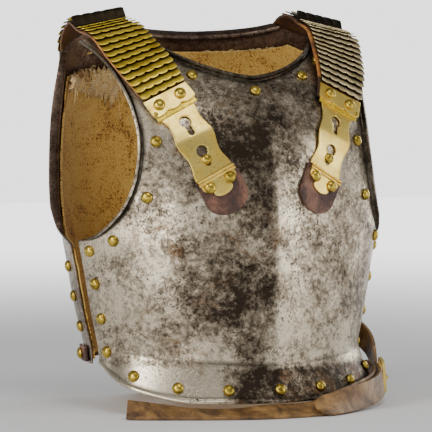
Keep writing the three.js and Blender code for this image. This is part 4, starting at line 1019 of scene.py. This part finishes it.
# Courses: smooth lines through anchors, each a place and an up direction
def centripetal(points, count):
    points = np.array(points, float)
    last = len(points) - 1
    made = []
    for t in np.linspace(0, last, count * last + 1):
        i = min(int(t), last - 1)
        w = t - i
        p1, p2 = points[i], points[i + 1]
        p0 = points[i - 1] if i > 0 else 2 * p1 - p2
        p3 = points[i + 2] if i + 2 <= last else 2 * p2 - p1
        d0, d1, d2 = [max(np.linalg.norm(b - a) ** 0.5, 1e-4) for a, b in ((p0, p1), (p1, p2), (p2, p3))]
        t1 = ((p1 - p0) / d0 - (p2 - p0) / (d0 + d1) + (p2 - p1) / d1) * d1
        t2 = ((p2 - p1) / d1 - (p3 - p1) / (d1 + d2) + (p3 - p2) / d2) * d1
        curve = (-3 * p1 + 3 * p2 - 2 * t1 - t2) * w * w + (2 * p1 - 2 * p2 + t1 + t2) * w ** 3
        made.append(p1 + t1 * w + curve)
    return np.array(made)


class Course:
    def __init__(self, anchors, count=40):
        self.count = count
        self.places = centripetal([a[0] for a in anchors], count)
        self.ups = centripetal([a[1] for a in anchors], count)
        steps = np.linalg.norm(np.diff(self.places, axis=0), axis=1)
        self.run = np.concatenate([[0], np.cumsum(steps)])
        self.length = self.run[-1]
        self.alongs = unit(np.gradient(self.places, axis=0))

    def anchor(self, index):
        return self.run[index * self.count]

    def frames(self, distance):
        distance = np.asarray(distance, float)
        inside_run = np.clip(distance, 0, self.length)
        pick = lambda table: np.stack([np.interp(inside_run, self.run, table[:, k]) for k in range(3)], -1)
        along = unit(pick(self.alongs))
        place = pick(self.places) + along * (distance - inside_run)[..., None]
        side = unit(np.cross(along, pick(self.ups)))
        return place, along, side, unit(np.cross(side, along))

    def frame(self, distance):
        return [v[0] for v in self.frames(np.array([distance]))]

    def at(self, across, distance, above):
        values = [np.asarray(v, float) for v in (across, distance, above)]
        across, distance, above = np.broadcast_arrays(*values)
        place, _, side, up = self.frames(distance)
        return place + side * across[..., None] + up * above[..., None]


def dome_on(net, course, across, distance, above, mirror, **size):
    """A rivet head on what lies along a course."""
    place, _, side, up = course.frame(distance)
    dome(net, mirrored(place + side * across + up * above, mirror), mirrored(up, mirror), **size)


# The shoulder strap's course: a plate, a share of the half width, a height share and a rise off the plate.
# Over the shoulder there is no plate, and the last is a depth share with the leans out and to the front.
STRAP_COURSE = [
    (BREAST, 0.240, 0.470, 0), (BREAST, 0.342, 0.553, 0), (BREAST, 0.427, 0.627, 0),
    (BREAST, 0.495, 0.694, 0.2), (BREAST, 0.565, 0.752, 2.5), (BREAST, 0.622, 0.804, 5.5),
    (BREAST, 0.676, 0.855, 6.5), (BREAST, 0.712, 0.895, 7),
    (None, 0.735, 0.932, (0.185, 12, 22)), (None, 0.735, 0.953, (0.38, 12, -4)),
    (BACK, 0.712, 0.905, 10), (BACK, 0.680, 0.840, 3), (BACK, 0.664, 0.802, 1),
]
CREST_ROW = 8


def strap_anchor(row):
    plate, across, share, rise = row
    height = share * PLATE_HEIGHT
    if plate:
        angle = angle_across(plate, across * CHEST_HALF_WIDTH, height)
        up = plate_normal(plate, angle, height)
        return plate_point(plate, angle, height) + up * (plate["wall"] / 2 + SEAT_GAP + rise), up
    depth, out_lean, front_lean = rise
    up = unit(np.array([math.tan(math.radians(out_lean)), -math.tan(math.radians(front_lean)), 1]))
    return np.array([across * CHEST_HALF_WIDTH, depth * BACK_DEPTH, height]), up


STRAP = Course([strap_anchor(row) for row in STRAP_COURSE])
CREST = STRAP.anchor(CREST_ROW)
KEYPLATE_START = TIP_LENGTH - TERMINAL_OVERHANG
KEYPLATE_END = KEYPLATE_START + KEYPLATE_LENGTH
COLLAR_START = KEYPLATE_END - 2
COLLAR_END = KEYPLATE_END + COLLAR_LENGTH
REAR_PLATE_START = STRAP.length - REAR_PLATE_LENGTH
BAR_END = KEYPLATE_START - SEAT_GAP
CUT_SPACING = 2.5


def strap_half(distance):
    widening = ease(COLLAR_END, COLLAR_END + 50, distance)
    return COLLAR_HALF_WIDTH + (STRAP_HALF_WIDTH - COLLAR_HALF_WIDTH) * widening


def inside(u, v, loop):
    hit = False
    for i in range(len(loop)):
        (x1, y1), (x2, y2) = loop[i - 1], loop[i]
        if (y1 > v) != (y2 > v) and u < (x2 - x1) * (v - y1) / (y2 - y1) + x1:
            hit = not hit
    return hit


def in_sheet(u, v, loops):
    """Inside the first loop and outside the others, which are holes."""
    return inside(u, v, loops[0]) and not any(inside(u, v, hole) for hole in loops[1:])


def cut_sheet(loops, above, mirror):
    """A net of a flat cut-out laid on the strap's course. The loops, an outline and holes, are of across
    and distance."""
    points, edges = [], []
    for loop in loops:
        base = len(points)
        points.extend(Vector(p) for p in loop)
        edges.extend((base + i, base + (i + 1) % len(loop)) for i in range(len(loop)))
    low, high = np.array(loops[0]).min(0), np.array(loops[0]).max(0)
    corners = np.concatenate([np.array(loop) for loop in loops])
    for u in np.arange(low[0] + CUT_SPACING / 2, high[0], CUT_SPACING):
        for v in np.arange(low[1] + CUT_SPACING / 2, high[1], CUT_SPACING):
            far = np.min(np.hypot(corners[:, 0] - u, corners[:, 1] - v)) >= CUT_SPACING * 0.4
            if far and in_sheet(u, v, loops):
                points.append(Vector((u, v)))
    verts, _, faces, *_ = delaunay_2d_cdt(points, edges, [], 2, 1e-4)
    flat = np.array([tuple(v) for v in verts])
    kept = [list(face) for face in faces if in_sheet(*flat[list(face)].mean(0), loops)]
    net = Net()
    lifted = STRAP.at(flat[:, 0], flat[:, 1], above(flat[:, 1]))
    net.extend(list(mirrored(lifted, mirror)), kept)
    return net


def outline_from(half, start, end, step=1.5):
    """A loop from a half width that changes along a distance."""
    distances = np.linspace(start, end, max(int((end - start) / step), 2) + 1)
    side = [(float(half(d)), d) for d in distances]
    return [(-w, d) for w, d in side] + side[::-1]


def net_piece(name, net, material, replaces, wall=0.0, bevel=0.35):
    """A piece with its faces turned away from the body."""
    mesh = net.mesh(name)
    turn_faces(mesh, from_body)
    piece = add_object(name, mesh, [material], replaces)
    if wall:
        thicken(piece, wall, bevel)


# Scales: painted shadow from a scale's root, under the row before, to its free edge
SCALE_SHADE = {1: [1.0, 1.0, 1.0, 0.9, 0.5, 0.0, 0.0], -1: [1.0, 1.0, 0.95, 0.75, 0.2, 0.0, 0.0]}
LOBE_DEPTH = 2.4
SCALE_LENGTH, SCALE_RISE, SCALE_WALL = 12.4, 3.4, 0.9
SCALE_INSET = 0.8
CREST_START = CREST + 4
CREST_LIFT = 8


def scale_row(net, root, way, half, mirror, lift=SCALE_RISE, crest_shade=0.0):
    """One row of scales: a thin plate with round lobes that rises towards its free edge."""
    across = np.linspace(-1, 1, SCALE_LOBES * 8 + 1)
    part = (across + 1) / 2 * SCALE_LOBES
    part = part - np.floor(np.clip(part, 0, SCALE_LOBES - 1e-6))
    lobe = LOBE_DEPTH * np.sqrt(np.clip(1 - (2 * part - 1) ** 2 * 0.97, 0, 1))
    rows, marks = [], []
    for share, mark in zip(np.linspace(0, 1, len(SCALE_SHADE[mirror])), SCALE_SHADE[mirror]):
        distance = root + way * (share * (SCALE_LENGTH - LOBE_DEPTH) + share ** 2 * lobe)
        above = np.full(len(across), STRAP_LEATHER + SEAT_GAP + 0.5 + lift * share)
        rows.append(STRAP.at(across * half, distance, above))
        marks.append(np.full(len(across), max(mark, crest_shade)))
    net.grid(mirrored(np.array(rows), mirror), marks=np.array(marks))


def strap_scales(hand, mirror, material):
    """Rows from the crest down the front, then from the crest down the back, the first one painted black as
    shade.
    """
    scales = Net()
    last_root = COLLAR_END + 1 + SCALE_LENGTH
    for root in np.linspace(CREST_START, last_root, round((CREST_START - last_root) / SCALE_PITCH) + 1):
        scale_row(scales, root, -1, float(strap_half(root)) - SCALE_INSET, mirror)
    for row in range(int((REAR_PLATE_START - CREST_START - SCALE_TAIL) / SCALE_PITCH)):
        # The first rear row stands up at the crest and is painted fully dark as shade
        lift, crest_shade = (SCALE_RISE, 0.0) if row else (CREST_LIFT, 1.0)
        root = CREST_START + row * SCALE_PITCH
        scale_row(scales, root, 1, STRAP_HALF_WIDTH - SCALE_INSET, mirror, lift, crest_shade)
    mesh = scales.mesh(f"{hand}_scales")
    turn_faces(mesh, lambda point: Vector((0, 0, 1)))
    piece = add_object(f"{hand}_scales", mesh, [material], [f"{hand}_scale_band"])
    thicken(piece, SCALE_WALL, 0.2, segments=1)


def strap_strip(hand, mirror, inner):
    """The leather under the scales. It goes inner past them on the neck's side."""
    columns = 13
    rows, marks = [], []
    for d in np.linspace(KEYPLATE_END + SEAT_GAP, STRAP.length, 90):
        ragged = 0.5 * noise.noise(Vector((d * 0.12, 5.0 * mirror, 0)))
        half = float(strap_half(d))
        rows.append(STRAP.at(np.linspace(-half - inner - ragged, half - 1.2, columns), d, STRAP_LEATHER / 2))
        # Painted shade on the leather: under the collar, and from near the crest on to the back end
        under_collar = d < COLLAR_END + SCALE_PITCH
        marks.append(np.full(columns, 0.95 if under_collar else 0.8 * float(ease(CREST - 20, CREST, d))))
    strip = Net()
    strip.grid(mirrored(np.array(rows), mirror), marks=np.array(marks))
    nodes = [f"{hand}_strap_leather"]
    net_piece(f"{hand}_strap", strip, STRAP_BROWN, nodes, STRAP_LEATHER, 0.6)


# Brass plates of the strap
COLLAR_LOBES, COLLAR_LOBE_DEPTH = 3, 3.6
UNDERLAY_REACH, UNDERLAY_WALL = 6, 1.1
HOLE_RADIUS, SLOT_HALF = 6.3, 3.2
KEYHOLES = (0.32, 0.76)
BEND_AT, BEND_REACH, BEND_RISE = KEYPLATE_START + 0.53 * KEYPLATE_LENGTH, 32, 2.8
EAR_HALF, EAR_LENGTH = 20.5, 9
FOOT_HALF, FOOT_START, FOOT_END = 11, 16, 25
BAR_OFFSETS, BAR_RADIUS, BAR_RISE = (1.5, 4.9), 1.55, 1.6
ON_STRAP = STRAP_LEATHER + SEAT_GAP
ON_TIP = TIP_LEATHER + SEAT_GAP
TIP_ROUNDING = 20


def scalloped(half, start, lobes, depth, steps=49):
    """The points of an edge with round lobes."""
    made = []
    for u in np.linspace(-half, half, steps):
        part = (u / half + 1) * lobes / 2
        part -= math.floor(min(part, lobes - 0.001))
        made.append((u, start + depth * (1 - math.sqrt(max(1 - (2 * part - 1) ** 2 * 0.96, 0)))))
    return made


def keyhole(centre):
    """A round hole with a slot below it."""
    opening = math.degrees(math.asin(SLOT_HALF / HOLE_RADIUS))
    arcs = ((HOLE_RADIUS, centre, (-90 + opening, 270 - opening, 26)),
            (SLOT_HALF, centre - KEYHOLE_LENGTH, (180, 360, 10)))
    return [(radius * math.cos(t), middle + radius * math.sin(t))
            for radius, middle, turns in arcs for t in np.radians(np.linspace(*turns))]


def keyplate_half(d):
    return KEYPLATE_HALF_WIDTH * (1 + 0.09 * math.cos(4 * math.pi * (d - KEYPLATE_START) / KEYPLATE_LENGTH))


def rear_half(d):
    return STRAP_HALF_WIDTH - 1.5 * float(ease(STRAP.length - 4, STRAP.length, d)) ** 2


def terminal_half(distance):
    """Half the width of the terminal plate: two round ears and a round foot between them."""
    down = BAR_END - distance
    if down < EAR_LENGTH:
        return EAR_HALF
    if down < FOOT_START:
        share = (down - EAR_LENGTH) / (FOOT_START - EAR_LENGTH)
        return FOOT_HALF + (EAR_HALF - FOOT_HALF) * math.sqrt(1 - share * share)
    share = max(down - FOOT_START - 3, 0) / (FOOT_END - FOOT_START - 3)
    return max(FOOT_HALF * math.sqrt(max(1 - share * share, 0)), 0.5)


def tip_half(d):
    return TIP_HALF_WIDTH * math.sqrt(max(1 - max(1 - d / TIP_ROUNDING, 0) ** 2, 0.001))


def keyplate_height(v):
    """The keyhole plate's middle surface, bent a little across its middle."""
    return BRASS_WALL / 2 + BEND_RISE * np.clip(1 - np.abs(v - BEND_AT) / BEND_REACH, 0, 1)


def brass_plate(name, loops, height, mirror, replaces, material=PLATE_BRASS, wall=BRASS_WALL, bevel=0.35):
    """A plate at one height above the course, or at a height that is a function of the distance."""
    above = height if callable(height) else lambda v: np.full(np.shape(v), float(height))
    net_piece(name, cut_sheet(loops, above, mirror), material, replaces, wall, bevel)


def raised_bars(hand, mirror):
    bars = Net()
    across = np.linspace(-TERMINAL_HALF_WIDTH, TERMINAL_HALF_WIDTH, 24)
    for offset in BAR_OFFSETS:
        rows = [STRAP.at(across, BAR_END - offset + BAR_RADIUS * math.cos(turn),
                         ON_TIP + BRASS_WALL + 0.3 + BAR_RISE * math.sin(turn))
                for turn in np.radians(np.linspace(-20, 200, 11))]
        bars.grid(mirrored(np.array(rows), mirror))
    net_piece(f"{hand}_bars", bars, PLATE_BRASS, ())


def strap_heads(hand, mirror):
    """Two heads on each of three plates, a small one on the collar, and the stud in the lower keyhole."""
    heads = Net()
    collar_middle = (COLLAR_START + COLLAR_END - SEAT_GAP) / 2 + 1
    on_plate = ON_STRAP + BRASS_WALL - 0.1
    for u in (-0.5, 0.5):
        dome_on(heads, STRAP, u * COLLAR_HALF_WIDTH, collar_middle, on_plate, mirror)
        dome_on(heads, STRAP, u * STRAP_HALF_WIDTH, (REAR_PLATE_START + STRAP.length) / 2, on_plate, mirror)
    dome_on(heads, STRAP, COLLAR_HALF_WIDTH - 3.5, COLLAR_START + 4.5, on_plate, mirror,
            radius=2.6, height=2)
    for u in (-1, 1):
        dome_on(heads, STRAP, u * 12.2, BAR_END - 11.5, ON_TIP + BRASS_WALL - 0.1, mirror)
    stud = KEYPLATE_START + KEYHOLES[0] * KEYPLATE_LENGTH - 10
    dome_on(heads, STRAP, 0, stud, BRASS_WALL + SEAT_GAP, mirror, radius=5.5, height=4.2)
    name = f"{hand}_strap_heads"
    add_object(name, heads.mesh(name), [RIVET_BRASS], [f"{hand}_strap_stud"])


# The wearer's left strap shows its leather along the neck side, and paler scales
for hand, mirror, inner, scale_material in (("left", 1, 1.6, SCALE_PALE), ("right", -1, -1.2, SCALE_BRASS)):
    strap_scales(hand, mirror, scale_material)
    strap_strip(hand, mirror, inner)
    ends = [(COLLAR_HALF_WIDTH, COLLAR_END - SEAT_GAP), (-COLLAR_HALF_WIDTH, COLLAR_END - SEAT_GAP)]
    collar = scalloped(COLLAR_HALF_WIDTH, COLLAR_START, COLLAR_LOBES, COLLAR_LOBE_DEPTH) + ends
    brass_plate(f"{hand}_collar", [collar], ON_STRAP + BRASS_WALL / 2, mirror, [f"{hand}_collar_plate"])
    underlay = outline_from(lambda d: COLLAR_HALF_WIDTH - 2, KEYPLATE_END - UNDERLAY_REACH, KEYPLATE_END)
    brass_plate(f"{hand}_collar_underlay", [underlay], ON_STRAP - SEAT_GAP / 2 - UNDERLAY_WALL / 2,
                mirror, (), SCALE_BRASS, UNDERLAY_WALL, 0.2)
    rear = outline_from(rear_half, REAR_PLATE_START, STRAP.length)
    brass_plate(f"{hand}_rear_end", [rear], ON_STRAP + BRASS_WALL / 2, mirror, [f"{hand}_rear_plate"])
    keyplate = [outline_from(keyplate_half, KEYPLATE_START, KEYPLATE_END)]
    keyplate += [keyhole(KEYPLATE_START + share * KEYPLATE_LENGTH) for share in KEYHOLES]
    brass_plate(f"{hand}_keyholes", keyplate, keyplate_height, mirror, [f"{hand}_keyhole_plate"])
    terminal = outline_from(terminal_half, BAR_END - FOOT_END, BAR_END, 0.6)
    brass_plate(f"{hand}_terminal", [terminal], ON_TIP + BRASS_WALL / 2, mirror, [f"{hand}_terminal_plate"])
    raised_bars(hand, mirror)
    strap_heads(hand, mirror)
    tip_loop = outline_from(tip_half, 0.3, BAR_END, 1.0)
    tip = cut_sheet([tip_loop], lambda v: np.full(np.shape(v), TIP_LEATHER / 2), mirror)
    net_piece(f"{hand}_tip", tip, DARK_BROWN, [f"{hand}_strap_tip"], TIP_LEATHER, 0.8)

# Waist belt. Rows are angle, outset, lift and lean, as in the solids.
BELT_LONG = [
    (73, 0.3, 0.72, 84), (62, 0.32, 0.5, 80), (50, 0.34, 0.3, 75), (38, 0.36, 0.16, 68), (25, 0.47, 0, 58),
    (11, 0.48, 0, 24), (-5, 0.44, 0, 23), (-19, 0.46, 0, 14), (-32, 0.5, 0, 16), (-45, 0.8, 0, 30),
    (-55, 1.2, 0, 42),
]
BELT_END = [
    (9, 0.86, 0, 34), (18, 0.78, 0, 50), (30, 0.7, 0.05, 74), (41, 0.64, 0.15, 82), (51, 0.58, 0.27, 82),
    (59, 0.54, 0.42, 82), (66, 0.52, 0.58, 84),
]
# Straps on the backplate's sides: plate, angle, height share and rise in belt widths
SIDE_STRAP = [
    (BACK, 69, 0.168, 0.04), (BACK, 78, 0.166, 0.045), (BACK, 86, 0.155, 0.2), (BREAST, 80, 0.11, 0.62),
]
STUB = [(BACK, 68, 0.103, 0.045), (BACK, 76, 0.103, 0.045), (BACK, 84, 0.103, 0.045)]
STUB_HALF = BELT_WIDTH * 0.32
BELT_CROWN = -0.35


def belt_anchor(row):
    signed, outset, lift, lean = row
    sine, cosine = math.sin(math.radians(lean)), math.cos(math.radians(lean))
    height = (BELT_WIDTH / 2) * sine + (BELT_WALL / 2) * cosine - SKIRT_DROP + lift * BELT_WIDTH
    angle, mirror = abs(signed), -1 if signed < 0 else 1
    rim_level = max(height, float(level_at(BREAST["rim"], angle)) + 0.5)
    place = mirrored(plate_point(BREAST, angle, rim_level), mirror)
    outward = plate_normal(BREAST, angle, rim_level)
    outward = mirrored(unit(np.array([outward[0], outward[1], 0])), mirror)
    place = np.array([place[0], place[1], height]) + outward * (BREAST_WALL / 2 + outset * BELT_WIDTH)
    return place, outward * sine + np.array([0, 0, cosine])


def side_anchor(row):
    plate, angle, share, rise = row
    up = plate_normal(plate, angle, share * PLATE_HEIGHT)
    lifted = up * (plate["wall"] / 2 + BELT_WALL / 2 + rise * BELT_WIDTH)
    return plate_point(plate, angle, share * PLATE_HEIGHT) + lifted, up


def belt_half(d):
    return BELT_WIDTH / 2


def end_half(d):
    return BELT_WIDTH / 2 * math.sqrt(max(1 - max(1 - d / 20, 0) ** 2, 0.02))


def belt_piece(name, course, node, half=belt_half, start=0.0, material=BELT_BROWN, mirror=1):
    across = np.linspace(-1, 1, 13)
    steps = np.linspace(start, course.length, max(int((course.length - start) / 2.5), 4))
    grid = [course.at(across * half(d), d, BELT_CROWN * across ** 4) for d in steps]
    net = Net()
    net.grid(mirrored(np.array(grid), mirror))
    net_piece(name, net, material, node, BELT_WALL, 0.8)


LONG = Course([belt_anchor(row) for row in BELT_LONG])
END = Course([belt_anchor(row) for row in BELT_END])
belt_piece("belt_strap", LONG, ["belt_long"])
belt_piece("belt_point", END, ["belt_end"], end_half, 0.4)
joint_place, joint_along, _, joint_up = END.frame(END.length)
joint = [(joint_place + joint_along * ahead, joint_up) for ahead in (BUCKLE_LENGTH * 0.45, 1)]
SIDE = Course([side_anchor(row) for row in SIDE_STRAP] + joint)
belt_piece("side_strap", SIDE, ["belt_side_strap"])
STUB_COURSE = Course([side_anchor(row) for row in STUB])
belt_piece("stub_strap", STUB_COURSE, ["belt_stub"], lambda d: STUB_HALF, 0.0, DARK_BROWN, -1)
belt_heads = Net()
for course, distance, mirror in ((SIDE, 14, 1), (STUB_COURSE, STUB_COURSE.length * 0.55, -1)):
    dome_on(belt_heads, course, 0, distance, BELT_WALL / 2 - 0.1, mirror)
belt_nodes = ["belt_rivet", "belt_stub_rivet"]
add_object("belt_heads", belt_heads.mesh("belt_heads"), [RIVET_BRASS], belt_nodes)

# The CAD buckle keeps its place and gets a finish of its own
for name in ("buckle_frame", "buckle_tongue"):
    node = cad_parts[name]
    node.data.materials.clear()
    node.data.materials.append(PLATE_BRASS)


def aim(thing, place, goal):
    """Puts a camera or a light at a place, looking at a goal."""
    thing.location = place
    thing.rotation_mode = "QUATERNION"
    thing.rotation_quaternion = (Vector(goal) - Vector(place)).to_track_quat("-Z", "Y")


# Camera at the photograph's angle
SENSOR = 36
FOCAL = SENSOR * 2625 / 432
DISTANCE = 2905
AZIMUTH, ELEVATION = math.radians(-25), math.radians(2.3)
target = Vector(to_row([-7.0, 3.3, 192.5]))
level_way = Vector((math.sin(AZIMUTH), -math.cos(AZIMUTH), 0)) * math.cos(ELEVATION)
back_way = level_way + Vector((0, 0, math.sin(ELEVATION)))
camera_data = bpy.data.cameras.new("camera")
camera_data.lens = FOCAL
camera_data.sensor_width = SENSOR
camera = put("camera", camera_data)
aim(camera, target + back_way * DISTANCE * MM, target)
bpy.context.scene.camera = camera

# Floor, backdrop and light. The floor glows more with the distance, up to the backdrop's light.
ROOM_LIGHT = 0.3
BACKDROP_LIGHT = 2.2
FLOOR_NEAR, FLOOR_FAR = 0.6, 3.5
FLOOR_HALF = 6.0
floor_mesh = bpy.data.meshes.new("floor")
floor_corners = [(x * FLOOR_HALF, y * FLOOR_HALF, 0) for x, y in ((-1, -1), (1, -1), (1, 1), (-1, 1))]
floor_mesh.from_pydata(floor_corners, [], [(0, 1, 2, 3)])
floor_nodes = Nodes("floor_white")
for socket, value in (("Base Color", (0.9, 0.9, 0.9)), ("Roughness", 0.85), ("Emission Color", (1, 1, 1))):
    floor_nodes.feed(floor_nodes.shader.inputs[socket], value)
away = floor_nodes.node("VectorMath", operation="LENGTH")
floor_nodes.link(floor_nodes.coord.outputs["Object"], away.inputs[0])
glow = floor_nodes.spread(away.outputs["Value"], FLOOR_NEAR, FLOOR_FAR, (0.0, BACKDROP_LIGHT), "SMOOTHSTEP")
floor_nodes.link(glow, floor_nodes.shader.inputs["Emission Strength"])
floor_mesh.materials.append(floor_nodes.material)
floor = put("floor", floor_mesh)
floor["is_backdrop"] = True

world = bpy.data.worlds.new("studio")
world.use_nodes = True
sky = world.node_tree
background = sky.nodes["Background"]
background.inputs["Color"].default_value = (1, 1, 1, 1)
seen = sky.nodes.new("ShaderNodeLightPath")
level_of_light = sky.nodes.new("ShaderNodeMapRange")
level_of_light.inputs["To Min"].default_value = ROOM_LIGHT
level_of_light.inputs["To Max"].default_value = BACKDROP_LIGHT
sky.links.new(seen.outputs["Is Camera Ray"], level_of_light.inputs["Value"])
sky.links.new(level_of_light.outputs["Result"], background.inputs["Strength"])
bpy.context.scene.world = world

# Lights: a name, a place, the height that it looks at, its size across and up, and its power
LIGHTS = [
    ("key", (-2.0, -0.7, 1.0), 0.22, 0.8, 1.3, 26),
    ("fill", (1.7, -1.5, 0.7), 0.22, 0.5, 1.3, 9),
    ("edge", (1.9, 0.5, 0.6), 0.22, 0.4, 1.4, 12),
    ("low", (-1.3, -1.3, 0.12), 0.12, 0.8, 0.3, 5),
    ("top", (-0.15, -1.15, 1.95), 0.25, 1.1, 0.8, 10),
]
for name, place, height, wide, tall, power in LIGHTS:
    data = bpy.data.lights.new(name, "AREA")
    data.shape = "RECTANGLE"
    data.size, data.size_y = wide, tall
    data.energy = power
    aim(put(name, data), place, (0, 0, height))

low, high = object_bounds()
